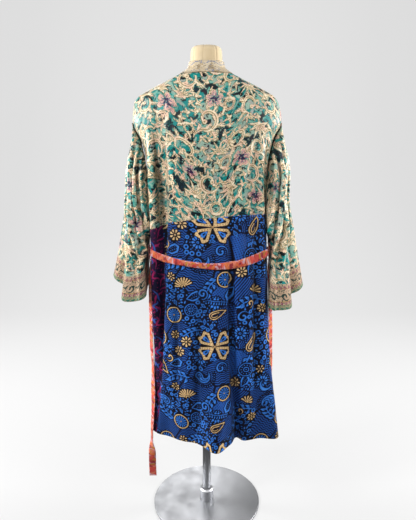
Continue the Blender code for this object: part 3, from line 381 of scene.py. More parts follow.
def ripple(x: Array, z: Array, seed: int, wide: float, tall: float) -> Array:
    """Smooth seeded noise between about -1 and 1.

    Args:
        x: Places along the first way.
        z: Places along the second way.
        seed: Chooses the noise.
        wide: Size of a ripple along the first way.
        tall: Size of a ripple along the second way.

    Returns:
        The noise at each place.
    """
    lattice = np.random.default_rng(seed).normal(0, 0.5, (64, 64))
    col, row = x / wide, z / tall
    j, i = np.floor(col).astype(int), np.floor(row).astype(int)
    t, s = ease(0, 1, col - j), ease(0, 1, row - i)
    low, high = (
        lattice[k % 64, j % 64] * (1 - t) + lattice[k % 64, (j + 1) % 64] * t for k in (i, i + 1)
    )
    return low * (1 - s) + high * s


def ripple_along(steps: Array, seed: int, wide: float) -> Array:
    """Seeded noise along a line."""
    return ripple(steps, np.zeros_like(steps), seed, wide, 1.0)


def crease_depths(creases: Table, x: Array, z: Array) -> Array:
    """How far creases move a cloth along its normal.

    Args:
        creases: The ridges and troughs.
        x: Distance round of each place of the cloth.
        z: Height of each place.

    Returns:
        The depth at each place.
    """
    depth = np.zeros(np.broadcast(x, z).shape)
    for start_x, start_z, end_x, end_z, width, deep, bow in creases.rows():
        long = math.hypot(end_x - start_x, end_z - start_z)
        way_x, way_z = (end_x - start_x) / long, (end_z - start_z) / long
        inside = np.clip(((x - start_x) * way_x + (z - start_z) * way_z) / long, 0, 1)
        off = (z - start_z) * way_x - (x - start_x) * way_z - bow * 4 * inside * (1 - inside)
        depth += deep * np.sin(math.pi * inside) ** 0.7 * hump(off, width)
    return depth


@dataclass
class Surface:
    """A surface held as a fine grid of level outlines: rows by height, columns by a place round."""

    heights: Array
    places: Array
    points: Array

    def at(self, height: Value, place: Value) -> Array:
        """Points of the surface, straight between the grid's own points.

        Args:
            height: Heights to read.
            place: Places round to read.

        Returns:
            Points (x, y, height).
        """
        height, place = np.broadcast_arrays(height, place)
        row = np.interp(height, self.heights, np.arange(len(self.heights)))
        col = np.interp(place, self.places, np.arange(len(self.places)))
        i = np.minimum(row.astype(int), len(self.heights) - 2)
        j = np.minimum(col.astype(int), len(self.places) - 2)
        s, t = (row - i)[..., None], (col - j)[..., None]
        low, high = (self.points[k, j] * (1 - t) + self.points[k, j + 1] * t for k in (i, i + 1))
        return np.concatenate([low * (1 - s) + high * s, height[..., None]], axis=-1)


@dataclass
class Cloth:
    """A grid of cloth: its points, where each lies on the flat cloth, and its distance from the edge.

    u, v, edge and fold are in mm; fold is how far a crease lifts the point, and the printed silk paints shade
    where it is low and a highlight where it is high.
    """

    points: Array
    normals: Array
    u: Array
    v: Array
    edge: Array
    fold: Value = 0.0

    @classmethod
    def laid(cls, points: Array, normals: Array, start: Value = 0.0) -> "Cloth":
        """A cloth with its flat places measured along its rows and columns.

        Args:
            points: The grid's points.
            normals: The grid's outward normals.
            start: Flat place of each column's top, in mm.

        Returns:
            The cloth, with its middle column at u = 0.
        """
        u = lengths(points)
        v = lengths(points.transpose(1, 0, 2)).T
        u = (u - u[:, points.shape[1] // 2, None]) * MM
        return cls(points, normals, u, v * MM + start, (v[-1:] - v) * MM)

    def moved_out(self, depth: Array) -> "Cloth":
        """The same cloth with each point moved along its normal."""
        points = self.points + self.normals * depth[..., None]
        return Cloth(points, self.normals, self.u, self.v, self.edge, self.fold + depth * MM)

    def hemmed(self, gap: float = 0.0014, rows: int = 4, roll: float = 0.0008) -> "Cloth":
        """The same cloth with its last rows turned under along the bottom edge.

        Args:
            gap: Thickness of the hem.
            rows: How many rows are turned under.
            roll: How far the rolled edge stands past the last row.

        Returns:
            The longer cloth.
        """
        last = self.points[-1] - self.points[-2]
        turned = self.points[-1] + unit(last) * roll - self.normals[-1] * gap / 2
        under = slice(-2, -2 - rows, -1)
        inner = (self.points - self.normals * gap)[under]
        points = np.concatenate([self.points, turned[None], inner])
        normals = np.concatenate([self.normals, self.normals[-1:], -self.normals[under]])
        further = (self.v[-1] - self.v[-2]) * np.arange(1, rows + 2)[:, None]
        v = np.concatenate([self.v, self.v[-1] + further])
        edge = np.concatenate([self.edge, -further])
        fold = np.broadcast_to(self.fold, self.u.shape)
        u, fold = (np.concatenate([a, np.repeat(a[-1:], rows + 1, axis=0)]) for a in (self.u, fold))
        return Cloth(points, normals, u, v, edge, fold)

    def seam_dip(self, edges: str) -> Array:
        """How the cloth sinks and puckers towards its seams.

        Args:
            edges: The sewn edges by letter: t for the top, b for the bottom, s for the sides.

        Returns:
            The depth at each point.
        """
        down = lengths(self.points.transpose(1, 0, 2)).T
        along = lengths(self.points)
        depth = np.zeros_like(down)
        places = (("t", down), ("b", down[-1:] - down), ("s", along), ("s", along[:, -1:] - along))
        for k, (edge, away) in enumerate(places):
            if edge in edges:
                pucker = ripple_along((self.u if k < 2 else self.v) / MM, 17 + k, 0.0065)
                depth -= 0.0009 * hump(away, 0.0026)
                depth += 0.0007 * pucker * np.exp(-away / 0.010) * (1 - np.exp(-away / 0.002))
        return depth

    def make(self, name: str, fields: dict[str, Array], closed: bool = False) -> bpy.types.Object:
        """Makes one smooth object from the cloth, with its fields as attributes and a tidy UV map.

        Args:
            name: The object's name.
            fields: Values for the grid's points, by the attribute's name.
            closed: Whether the last row is joined to the first.

        Returns:
            The object, linked to the scene.
        """
        rows, cols = self.points.shape[:2]
        index = np.arange(rows * cols).reshape(rows, cols)
        top, low = (index, np.roll(index, -1, axis=0)) if closed else (index[:-1], index[1:])
        quads = np.stack([top[:, :-1], top[:, 1:], low[:, 1:], low[:, :-1]], axis=-1).reshape(-1, 4)
        points = self.points.reshape(-1, 3)
        a, b, c = (points[quads[:, k]] for k in range(3))
        if np.einsum("ij,ij->", np.cross(b - a, c - a), self.normals.reshape(-1, 3)[quads[:, 0]]) < 0:
            quads = quads[:, ::-1]
        mesh = bpy.data.meshes.new(name)
        mesh.vertices.add(len(points))
        mesh.vertices.foreach_set("co", points.astype(np.float32).ravel())
        mesh.loops.add(quads.size)
        mesh.loops.foreach_set("vertex_index", quads.astype(np.int32).ravel())
        mesh.polygons.add(len(quads))
        mesh.polygons.foreach_set("loop_start", np.arange(0, quads.size, 4, dtype=np.int32))
        mesh.update(calc_edges=True)
        mesh.shade_smooth()
        place = np.stack([self.u, self.v, np.zeros_like(self.u)], axis=-1)
        added = {"cloth_mm": place, "edge_mm": self.edge, "fold_mm": self.fold, **fields}
        for field, values in added.items():
            kind, key = ("FLOAT_VECTOR", "vector") if field == "cloth_mm" else ("FLOAT", "value")
            values = values if field == "cloth_mm" else np.broadcast_to(values, (rows, cols))
            attribute = mesh.attributes.new(field, kind, "POINT")
            attribute.data.foreach_set(key, values.astype(np.float32).ravel())
        corner = np.stack([index % cols / (cols - 1), 1 - index // cols / max(rows - 1, 1)], axis=-1)
        chart = corner.reshape(-1, 2)[quads.ravel()]
        if closed:
            joins = (quads.min(axis=1) < cols) & (quads.max(axis=1) >= (rows - 1) * cols)
            chart[(quads.ravel() < cols) & np.repeat(joins, 4), 1] = -1 / (rows - 1)
            chart[:, 1] = (chart[:, 1] + 1 / (rows - 1)) * (rows - 1) / rows
        mesh.uv_layers.new(name="OFBake").data.foreach_set("uv", chart.astype(np.float32).ravel())
        mesh.validate()
        obj = bpy.data.objects.new(name, mesh)
        bpy.context.scene.collection.objects.link(obj)
        return obj


FAR = 8.0  # mm: the farthest distance that a print's fields keep
CELL = 0.8  # mm: the step of the fields' grid
HOLE = ""  # the ink of a stroke that clears what is under it


class Stroke(NamedTuple):
    """A brush stroke of one ink through points, with its half-width at each, in mm."""

    ink: str
    points: Array
    radius: Array


Strokes = list[Stroke]


def stroke(ink: str, points: Sequence | Array, *radii: float) -> Stroke:
    """A stroke whose half-widths are spread evenly along its points.

    Args:
        ink: Its ink.
        points: Its points, in mm.
        radii: Its half-widths from one end to the other.

    Returns:
        The stroke.
    """
    points = np.atleast_2d(np.asarray(points, float))
    steps = np.linspace(0, 1, len(points))
    return Stroke(ink, points, np.interp(steps, np.linspace(0, 1, len(radii)), radii))


def arc(start: float, stop: float, first: float, last: float | None = None, count: int = 16) -> Array:
    """Points of an arc or a spiral.

    Args:
        start: Its first angle, in degrees.
        stop: Its last angle.
        first: Its first radius.
        last: Its last radius, if that is another.
        count: How many points it has.

    Returns:
        The points.
    """
    angle = np.radians(np.linspace(start, stop, count))
    radius = np.linspace(first, first if last is None else last, count)
    return np.stack([radius * np.cos(angle), radius * np.sin(angle)], axis=-1)


def ring(ink: str, radius: float, half_width: float, count: int = 22) -> Stroke:
    """A circle."""
    return stroke(ink, arc(0, 360, radius, count=count), half_width)


def dot(ink: str, radius: float, x: float = 0.0, y: float = 0.0) -> Stroke:
    """A filled disc."""
    return stroke(ink, [(x, y)], radius)


def dots(ink: str, radius: float, spots: Sequence | Array) -> Strokes:
    """A filled disc at each place."""
    return [dot(ink, radius, *spot) for spot in spots]


def heading_of(way: Array) -> float:
    """The direction of a step, in degrees."""
    return math.degrees(math.atan2(way[1], way[0]))


def wedges(ink: str, count: int, span: Point, radii: Point, turn: Point = (0.0, 360.0)) -> Strokes:
    """Petals or spokes that widen outwards, round a centre.

    Args:
        ink: Their ink.
        count: How many there are.
        span: Where each starts and ends, from the centre.
        radii: Half-width of each at its two ends.
        turn: Where the first stands, and how far round they go, in degrees.

    Returns:
        The strokes.
    """
    steps = count if turn[1] == 360.0 else count - 1
    angles = np.radians(turn[0] + turn[1] * np.arange(count) / steps)
    ways = np.stack([np.cos(angles), np.sin(angles)], axis=-1)
    return [stroke(ink, [way * span[0], way * span[1]], *radii) for way in ways]


def moved(strokes: Strokes, x: float, y: float, turn: float = 0.0, size: float = 1.0,
          flip: bool = False) -> Strokes:
    """The strokes set down at a place.

    Args:
        strokes: What is set down.
        x: Where, along the cloth's width.
        y: Where, down the cloth.
        turn: How far it is turned, in degrees.
        size: How much larger it becomes.
        flip: Whether it is mirrored.

    Returns:
        New strokes.
    """
    cosine, sine = math.cos(math.radians(turn)), math.sin(math.radians(turn))
    matrix = size * np.array([[cosine, sine], [-sine, cosine]])
    mirror = np.array([-1.0 if flip else 1.0, 1.0])
    return [Stroke(s.ink, s.points * mirror @ matrix + (x, y), s.radius * size) for s in strokes]


def reach(s: Stroke, x: Array, y: Array) -> Array:
    """Distance of places from a stroke's edge.

    Args:
        s: The stroke.
        x: The places, along the width.
        y: The places, down the cloth.

    Returns:
        The distances, below zero inside the stroke.
    """
    first, last = (s.points, s.points) if len(s.points) == 1 else (s.points[:-1], s.points[1:])
    thick = s.radius[: len(first)]
    change = s.radius[len(s.radius) - len(last) :] - thick
    run = last - first
    square = np.maximum((run**2).sum(axis=-1), 1e-9)
    ax, ay = x[..., None] - first[:, 0], y[..., None] - first[:, 1]
    t = np.clip((ax * run[:, 0] + ay * run[:, 1]) / square, 0, 1)
    return (np.hypot(ax - t * run[:, 0], ay - t * run[:, 1]) - thick - change * t).min(axis=-1)


class Filler(Enum):
    """Close patterns that fill the ground between motifs."""

    PLAIN = "plain"
    WAVES = "waves"
    HATCH = "hatch"
    NET = "net"
    DOTS = "dots"

    def field(self, x: Array, y: Array, pitch: float, width: float) -> Array:
        """Distance from the pattern's nearest line or dot.

        Args:
            x: Places along the pattern, in mm.
            y: Places across it.
            pitch: Distance between its lines.
            width: Thickness of its lines.

        Returns:
            The distances in mm.
        """
        if self is Filler.PLAIN:
            return np.full_like(x, FAR)
        if self is Filler.WAVES:
            y = y + 1.7 * np.sin(x * 0.30) + 0.9 * np.sin(x * 0.11 + y * 0.05)
        down, along = y % pitch - pitch / 2, x % pitch - pitch / 2
        if self is Filler.DOTS:
            return np.hypot(along, down) - width * 0.75
        lines = np.abs(down) - width / 2
        return np.minimum(lines, np.abs(along) - width / 2) if self is Filler.NET else lines


class Placed(NamedTuple):
    """Where a motif of a print goes: x and y in mm, its turn in degrees and its size."""

    make: Callable[..., Strokes]
    given: tuple
    x: float
    y: float
    turn: float = 0.0
    size: float = 1.0
    flip: bool = False


@dataclass
class Canvas:
    """One repeat of a print, in mm: for each ink, how far every place is from that ink's edge."""

    width: float
    height: float
    inks: Sequence[str]

    def __post_init__(self) -> None:
        """Starts with no ink anywhere."""
        self.cols, self.rows = round(self.width / CELL), round(self.height / CELL)
        self.fields = {ink: np.full((self.rows, self.cols), FAR) for ink in self.inks}

    def places(self, rows: Array, cols: Array) -> tuple[Array, Array]:
        """x and y of the grid's rows and columns."""
        down, along = rows * self.height / self.rows, cols * self.width / self.cols
        return tuple(np.meshgrid(down, along, indexing="ij")[::-1])

    def stamp(self, strokes: Strokes, halo: float = 1.2) -> None:
        """Paints strokes in turn over what is there.

        Args:
            strokes: The strokes; a later one covers an earlier one.
            halo: Width of the clear ground kept round them.
        """
        low = np.min([(s.points - s.radius[:, None]).min(axis=0) for s in strokes], axis=0) - FAR
        high = np.max([(s.points + s.radius[:, None]).max(axis=0) for s in strokes], axis=0) + FAR
        rows = np.arange(math.floor(low[1] / CELL), math.ceil(high[1] / CELL))[: self.rows]
        cols = np.arange(math.floor(low[0] / CELL), math.ceil(high[0] / CELL))[: self.cols]
        x, y = self.places(rows, cols)
        fresh = {ink: np.full(x.shape, FAR) for ink in self.fields}
        cover = np.full(x.shape, FAR)
        for s in strokes:
            away = reach(s, x, y)
            cover = np.minimum(cover, away)
            for ink, own in fresh.items():
                fresh[ink] = np.minimum(own, away) if ink == s.ink else np.maximum(own, -away)
        spot = np.ix_(rows % self.rows, cols % self.cols)
        for ink, field in self.fields.items():
            under = np.maximum(field[spot], halo - cover)
            field[spot] = np.clip(np.minimum(under, fresh[ink]), -FAR, FAR)

    def place(self, motifs: Sequence[tuple], scale: float, halo: float) -> None:
        """Stamps a table of motifs.

        Args:
            motifs: The rows, each as a Placed.
            scale: How much larger places and motifs become.
            halo: Width of the clear ground kept round each.
        """
        for motif in (Placed(*row) for row in motifs):
            strokes = motif.make(*motif.given)
            x, y, size = scale * motif.x, scale * motif.y, scale * motif.size
            self.stamp(moved(strokes, x, y, motif.turn, size, motif.flip), halo)

    def fill(self, ink: str, patches: Sequence[tuple], scale: float, pitch: float, width: float,
             gap: float) -> None:
        """Covers the ground with patches of filler patterns.

        Args:
            ink: The ink they are printed in.
            patches: Rows of x, y, pattern and its turn in degrees.
            scale: How much larger the places become.
            pitch: Distance between a pattern's lines.
            width: Thickness of its lines.
            gap: Width of the clear ground between two patches.
        """
        x, y = self.places(np.arange(self.rows), np.arange(self.cols))
        wide, high = self.width, self.height
        bend_x = 5 * np.sin(2 * math.pi * (2 * x / wide + y / high))
        bend_y = 5 * np.sin(2 * math.pi * (x / wide - 2 * y / high))
        away, field = [], []
        for patch_x, patch_y, kind, degrees in patches:
            dx = (x + bend_x - scale * patch_x + wide / 2) % wide - wide / 2
            dy = (y + bend_y - scale * patch_y + high / 2) % high - high / 2
            cosine, sine = math.cos(math.radians(degrees)), math.sin(math.radians(degrees))
            away.append(np.hypot(dx, dy))
            field.append(kind.field(dx * cosine + dy * sine, dy * cosine - dx * sine, pitch, width))
        order = np.argsort(away, axis=0)
        near, second = (np.take_along_axis(np.array(away), order[k : k + 1], axis=0)[0] for k in (0, 1))
        own = np.take_along_axis(np.array(field), order[:1], axis=0)[0]
        self.fields[ink] = np.clip(np.maximum(own, gap - (second - near) / 2), -FAR, FAR)

    def room(self, x: float, y: float, ink: str = "") -> float:
        """Distance from a place to the nearest ink, or to one ink."""
        row, col = round(y / CELL) % self.rows, round(x / CELL) % self.cols
        return min(field[row, col] for name, field in self.fields.items() if ink in ("", name))

    def scatter(self, seed: int, spacing: float, clear: float, make: Callable[[float], Strokes],
                halo: float = 0.9, ink: str = "") -> None:
        """Sets small motifs, each turned at random, wherever there is room.

        Args:
            seed: Chooses the places, turns and sizes.
            spacing: Distance between two of them.
            clear: How far away the next ink has to be.
            make: Draws the motif at a size of about 1.
            halo: Width of the clear ground kept round each.
            ink: The ink that has to be away, or any.
        """
        chance = np.random.default_rng(seed)
        for x in np.arange(0, self.width, spacing):
            for y in np.arange(0, self.height, spacing):
                at = np.array([x, y]) + chance.uniform(-0.35, 0.35, 2) * spacing
                turn, size = chance.uniform(0, 360), chance.uniform(0.85, 1.15)
                if self.room(*at, ink) > clear:
                    self.stamp(moved(make(size), *at, turn), halo)

    def cast(self, ink: str, source: str, right: float, down: float) -> None:
        """Sets one ink as another's shadow, moved aside."""
        shadow = np.roll(self.fields[source], (round(down / CELL), round(right / CELL)), axis=(0, 1))
        self.fields[ink] = np.minimum(self.fields[ink], shadow)

    def read(self, ink: str, u: Array, v: Array) -> Array:
        """Distance of places on the cloth from an ink's edge, with the print repeated both ways.

        Args:
            ink: The ink.
            u: The places along the cloth's width.
            v: The places down the cloth.

        Returns:
            The distances.
        """
        col, row = u / self.width * self.cols, v / self.height * self.rows
        j, i = np.floor(col).astype(int), np.floor(row).astype(int)
        t, s = col - j, row - i
        field, left, right = self.fields[ink], j % self.cols, (j + 1) % self.cols
        top, low = (
            field[k % self.rows, left] * (1 - t) + field[k % self.rows, right] * t for k in (i, i + 1)
        )
        return top * (1 - s) + low * s

    def over(self, cloth: Cloth, shift: Point = (0.0, 0.0), bare: Array | bool = False) -> dict[str, Array]:
        """The print's fields over a cloth, moved by `shift` in mm, with no ink where it is `bare`."""
        u, v = cloth.u + shift[0], cloth.v + shift[1]
        return {ink: np.where(bare, FAR, self.read(ink, u, v)) for ink in self.fields}


def kite_flower() -> Strokes:
    """Four broad petals with dotted rims, crosswise.

    Returns:
        The strokes.
    """
    found: Strokes = []
    rim = np.array([(8, 0), (36, -17), (47, -13), (42, 0), (47, 13), (36, 17), (8, 0)])
    run = lengths(rim)
    for turn in (38, 142, 218, 322):
        petal = [stroke("gold", rim, 3.6), stroke("blue", [(22, 0), (35, 0)], 3.2, 6.4)]
        petal += [stroke(HOLE, [(27, 0), (33, 0)], 1.6, 2.2)]
        petal += dots(HOLE, 1.15, resampled(rim, run, np.linspace(0, 1, 17) * run[-1]))
        found += moved(petal, 0, 0, turn)
    return found + [dot("gold", 3.2), dot(HOLE, 1.4)]


def daisy(petals: int = 8, radius: float = 15.0) -> Strokes:
    """A flower of wedge petals round a dot."""
    found = wedges("gold", petals, (0.38 * radius, 0.84 * radius), (0.05 * radius, 0.19 * radius))
    return found + [dot("gold", 0.17 * radius)]


def wheel(radius: float = 24.0, spokes: int = 14) -> Strokes:
    """A wheel of spokes inside a gold rim.

    Args:
        radius: Its radius, in mm.
        spokes: How many spokes it has.

    Returns:
        The strokes.
    """
    found = [dot(HOLE, radius), ring("gold", radius, 1.5)]
    found += wedges("blue", spokes, (0.32 * radius, 0.76 * radius), (0.9, 2.1))
    return found + [ring("blue", 0.2 * radius, 1.0, 10), dot("gold", 0.09 * radius)]


def blue_wheel(radius: float = 18.0) -> Strokes:
    """A dotted rosette inside two rings."""
    found = [dot(HOLE, radius), ring("blue", radius, 1.2), ring("blue", 0.36 * radius, 1.2, 12)]
    return found + [dot("blue", 1.6), *dots("blue", 1.7, arc(0, 360, 0.68 * radius, count=12)[:-1])]


def fan(rays: int = 9, radius: float = 26.0) -> Strokes:
    """An open fan of gold rays over a small curl."""
    found = wedges("gold", rays, (0.30 * radius, 0.92 * radius), (0.9, 2.1), (-168, 156))
    return found + [stroke("gold", arc(-200, 20, 0.16 * radius, count=9), 1.3)]


def drop_leaf(length: float = 54.0) -> Strokes:
    """A gold drop outline round a hooked line, with short ticks all round.

    Args:
        length: Its length.

    Returns:
        The strokes.
    """
    t = np.linspace(0, 2 * math.pi, 26)
    wide = 0.30 * length * np.sin(t) * np.sin(t / 2) ** 1.2
    outline = np.stack([length * (0.5 - 0.5 * np.cos(t)), wide], axis=-1)
    inner = outline * (0.58, 0.5) + (0.3 * length, 0)
    ways = unit(outline - outline.mean(axis=0))
    found = [stroke("gold", outline, 1.35), stroke("gold", inner[6:22], 1.0, 1.5)]
    for spot, way in zip(outline[4:-4:2], ways[4:-4:2]):
        found.append(stroke("blue", [spot + way * 4.2, spot + way * 8.2], 0.9, 1.5))
    return found


def paisley(length: float = 62.0) -> Strokes:
    """A solid curling comma with a scroll and dots cut from it.

    Args:
        length: Its length.

    Returns:
        The strokes.
    """
    spine = arc(200, 20, 0.34 * length, 0.20 * length, 14)
    found = [stroke("blue", spine, 1.0, 6.5, 12.5), stroke(HOLE, spine[3:], 0.4, 3.4, 9.2)]
    found.append(stroke("blue", spine[5:], 0.5, 1.8, 6.2))
    found += moved([stroke(HOLE, arc(0, 400, 4.2, 1.2, 12), 1.0)], *spine[-1])
    return found + dots("blue", 1.5, arc(196, 10, 0.34 * length + 14, 0.20 * length + 20, 15))


def curl(ink: str, radius: float = 16.0, turns: float = 420.0, thick: float = 2.4) -> Strokes:
    """A spiral that tapers to its tail and ends in a ball."""
    line = arc(0, turns, radius, 0.2 * radius, 26)
    return [stroke(ink, line, 0.6, thick, thick * 0.8), dot(ink, thick * 1.25, *line[-1])]


def crescent(radius: float = 20.0) -> Strokes:
    """A sickle shape."""
    return [stroke("blue", arc(-100, 100, radius), 0.4, 5.0, 0.4)]


def eye(length: float = 22.0) -> Strokes:
    """An almond with a dot in it.

    Args:
        length: Its length, in mm.

    Returns:
        The strokes.
    """
    shapes = (("blue", 0.5 * length, 0.5, 0.27), (HOLE, 0.25 * length, 0.3, 0.15))
    found = [stroke(ink, [(-half, 0), (0, 0), (half, 0)], thin, wide * length, thin)
             for ink, half, thin, wide in shapes]
    return found + [dot("blue", 0.07 * length)]


def petal_row(count: int, pitch: float) -> Strokes:
    """A row of upright ticks over a line.

    Args:
        count: How many there are.
        pitch: The step from one to the next, in mm.

    Returns:
        The strokes.
    """
    found = [stroke("blue", [(0, 0), (count * pitch, 0)], 1.1)]
    feet = pitch * np.arange(count) + 3
    return found + [stroke("blue", [(x, 3.4), (x, 8)], 1.0, 1.9) for x in feet]


def sprig(length: float = 76.0, pairs: int = 5) -> Strokes:
    """A bent stem with pairs of broad leaves, each split by a vein.

    Args:
        length: The stem's length.
        pairs: How many pairs of leaves it has.

    Returns:
        The strokes.
    """
    t = np.linspace(0, 1, 2 * pairs + 2)
    stem = np.stack([length * t, -0.16 * length * np.sin(math.pi * t)], axis=-1)
    found = [stroke("blue", stem, 1.6, 1.2)]
    for k in range(pairs):
        root = stem[2 * k + 1]
        long = length * (0.27 - 0.016 * k)
        for side in (-1, 1):
            tip = root + (0.66 * long, side * 0.86 * long)
            bend = (root + tip) / 2 + (-0.10 * long, side * 0.12 * long)
            found.append(stroke("blue", [root, bend, tip], 0.9, 4.2, 0.6))
            found.append(stroke(HOLE, [root + 0.3 * (bend - root), bend], 0.6, 0.6))
    return found + [stroke("blue", [stem[-1] - (4, 0), stem[-1] + (8, 1)], 3.4, 0.6)]


def sun(radius: float = 21.0, petals: int = 10) -> Strokes:
    """A round flower of solid petals, ringed with beads.

    Args:
        radius: Its radius, in mm.
        petals: How many petals it has.

    Returns:
        The strokes.
    """
    found = wedges("blue", petals, (0.40 * radius, 0.70 * radius), (1.2, 3.3))
    beads = arc(0, 360, 1.02 * radius, count=17)[:-1]
    return found + [dot("blue", 3.6), dot(HOLE, 1.5), *dots("blue", 1.7, beads)]


def teardrop(length: float = 44.0) -> Strokes:
    """A bent drop with a solid rim, and rows of beads in it.

    Args:
        length: Its length.

    Returns:
        The strokes.
    """
    rim = ((0, 0), (0.34, -0.26), (0.72, -0.25), (0.92, 0), (0.76, 0.22), (0.42, 0.20), (0, 0))
    found = [stroke("blue", length * np.array(rim), 1.0, 2.6, 2.8, 2.6, 1.0)]
    for beads, size, start, y in ((4, 1.7, 0.34, -0.07), (3, 1.4, 0.42, 0.07)):
        found += dots("blue", size, [((start + 0.14 * k) * length, y * length) for k in range(beads)])
    return found


BLUE_SIZE = 1.12
BLUE_PATCHES = (
    (40, 118, Filler.WAVES, 8), (150, 32, Filler.WAVES, -12), (255, 64, Filler.PLAIN, 0),
    (330, 30, Filler.WAVES, 70), (210, 140, Filler.WAVES, 20), (300, 150, Filler.PLAIN, 0),
    (110, 196, Filler.WAVES, -20), (40, 228, Filler.NET, 35), (184, 246, Filler.PLAIN, 0),
    (262, 224, Filler.WAVES, 12), (338, 236, Filler.HATCH, 60), (96, 300, Filler.PLAIN, 0),
    (20, 310, Filler.DOTS, 20), (232, 312, Filler.WAVES, -30), (312, 306, Filler.PLAIN, 0),
    (86, 66, Filler.PLAIN, 0), (10, 30, Filler.PLAIN, 0), (352, 108, Filler.NET, 20),
)
BLUE_MOTIFS = (
    (sprig, (), 138, 150, 16), (sprig, (68, 4), 52, 190, 62), (sprig, (), 196, 300, 128, 1, True),
    (sprig, (66, 4), 312, 88, 96), (sprig, (70, 4), 282, 262, 12), (sprig, (62, 4), 104, 8, 28),
    (teardrop, (), 196, 118, 200), (teardrop, (), 6, 220, 60), (teardrop, (), 326, 186, 250, 0.9),
    (teardrop, (), 140, 250, 200), (sun, (), 104, 92), (sun, (), 262, 178), (sun, (18, 9), 60, 262),
    (sun, (18, 9), 212, 250), (sun, (), 342, 20), (kite_flower, (), 62, 52), (daisy, (), 142, 40),
    (daisy, (7, 12), 176, 24), (daisy, (), 164, 72, 20), (wheel, (), 232, 40),
    (curl, ("gold", 15, 300, 2), 196, 96, 30), (drop_leaf, (), 292, 26, 62), (paisley, (), 98, 142, 10),
    (curl, ("blue", 20), 44, 118, 140), (drop_leaf, (), 206, 150, 130, 1, True),
    (blue_wheel, (20,), 318, 132), (daisy, (6, 12), 272, 138), (crescent, (), 246, 186, 60),
    (wheel, (21, 12), 34, 196), (fan, (), 148, 214, 14), (daisy, (7, 12), 184, 188),
    (curl, ("blue", 17, 500), 96, 236, 60), (paisley, (), 232, 248, 190, 0.95),
    (fan, (6, 19), 304, 236, -24), (daisy, (), 346, 176, 10), (petal_row, (9, 7.2), 18, 262, -8),
    (blue_wheel, (17,), 128, 282), (wheel, (22, 14), 178, 300), (drop_leaf, (), 30, 284, 20, 0.9),
    (daisy, (8, 13), 278, 286, 15), (curl, ("gold", 12, 330, 1.9), 318, 268, 80),
    (curl, ("blue", 18), 336, 306, 200), (petal_row, (5, 7.2), 252, 108, 82),
)


def blue_canvas() -> Canvas:
    """Folk motifs in gold and blue, close together on navy.

    Returns:
        The print.
    """
    canvas = Canvas(360.0 * BLUE_SIZE, 335.0 * BLUE_SIZE, ("steel", "blue", "gold"))
    canvas.fill("steel", BLUE_PATCHES, BLUE_SIZE, 7.2, 3.7, 2.4)
    canvas.place(BLUE_MOTIFS, BLUE_SIZE, 3.0)
    canvas.scatter(10, 25.0, 7.5, lambda grown: eye(21 * grown))
    canvas.scatter(11, 17.0, 6.6, lambda grown: [ring("blue", 5.2 * grown, 2.0, 12)])
    leaf = np.array([(-5.4, 0), (0, 0), (5.4, 0)])
    canvas.scatter(12, 10.0, 5.2, lambda grown: [stroke("blue", leaf * (grown, 1), 0.5, 2.8, 0.5)])
    canvas.scatter(13, 7.0, 4.2, lambda grown: [dot("blue", 2.3)])
    return canvas


def flame(x: float, y: float, heading: float, length: float, bend: float, wide: float,
          ink: str = "cream") -> Stroke:
    """A tapering lobe that bends as it goes.

    Args:
        x: Where it starts.
        y: Where it starts, down the cloth.
        heading: Where it sets off to, in degrees.
        length: Its length.
        bend: How far it turns on its way, in degrees.
        wide: Its greatest half-width.
        ink: Its ink.

    Returns:
        The stroke.
    """
    ways = np.radians(heading + bend * np.linspace(0, 1, 9))
    steps = np.stack([np.cos(ways), np.sin(ways)], axis=-1) * length / 9
    points = np.concatenate([[(x, y)], (x, y) + np.cumsum(steps, axis=0)])
    return stroke(ink, points, 0.40 * wide, 0.95 * wide, wide, 0.55 * wide, 0.12)


def plume(x: float, y: float, heading: float, length: float, bend: float, wide: float) -> Strokes:
    """A flame lobe with four barbs along its outer side, as an acanthus leaf has.

    Args:
        x: Where it starts.
        y: Where it starts, down the cloth.
        heading: Where it sets off to, in degrees.
        length: Its length.
        bend: How far it turns on its way, in degrees.
        wide: Its greatest half-width.

    Returns:
        The strokes.
    """
    lobe = flame(x, y, heading, length, bend, wide)
    found = [lobe]
    for k, long in ((1, 0.50), (3, 0.58), (5, 0.50), (7, 0.34)):
        way = heading + bend * k / 9 - math.copysign(38, bend)
        found.append(flame(*lobe.points[k], way, long * length, 0.6 * bend, 0.42 * wide))
    return found


def scroll(radius: float = 25.0, sweep: float = 330.0, lobes: int = 6, wide: float = 4.0) -> Strokes:
    """A C-scroll: a tapering spiral that ends in a ball, with flame lobes peeling off its back.

    Args:
        radius: Of the spiral at its start.
        sweep: How far round it goes, in degrees.
        lobes: How many lobes it has.
        wide: Its greatest half-width.

    Returns:
        The strokes.
    """
    spine = arc(0, sweep, radius, 0.30 * radius, 44)
    found = []
    for k in range(lobes):
        x, y = spine[2 + 5 * k]
        angle = heading_of((x, y))
        found += plume(x, y, angle + 78, radius * (1.0 - 0.08 * k), -66, wide * (0.72 - 0.05 * k))
        found.append(flame(0.99 * x, 0.99 * y, angle + 74, radius * (0.72 - 0.05 * k), -56, 0.8, "shade"))
    found.append(flame(*(spine[12] * 0.9), heading_of(spine[12]) + 120, 0.5 * radius, 40, 0.6 * wide))
    found.append(stroke("cream", spine, 0.3 * wide, wide, 0.95 * wide, 0.6 * wide, 0.55 * wide))
    found.append(stroke("shade", spine[5:36] * 0.97, 0.2, 0.8, 0.7, 0.2))
    return found + [dot("cream", 0.19 * radius, *spine[-1]), dot("shade", 0.07 * radius, *spine[-1])]


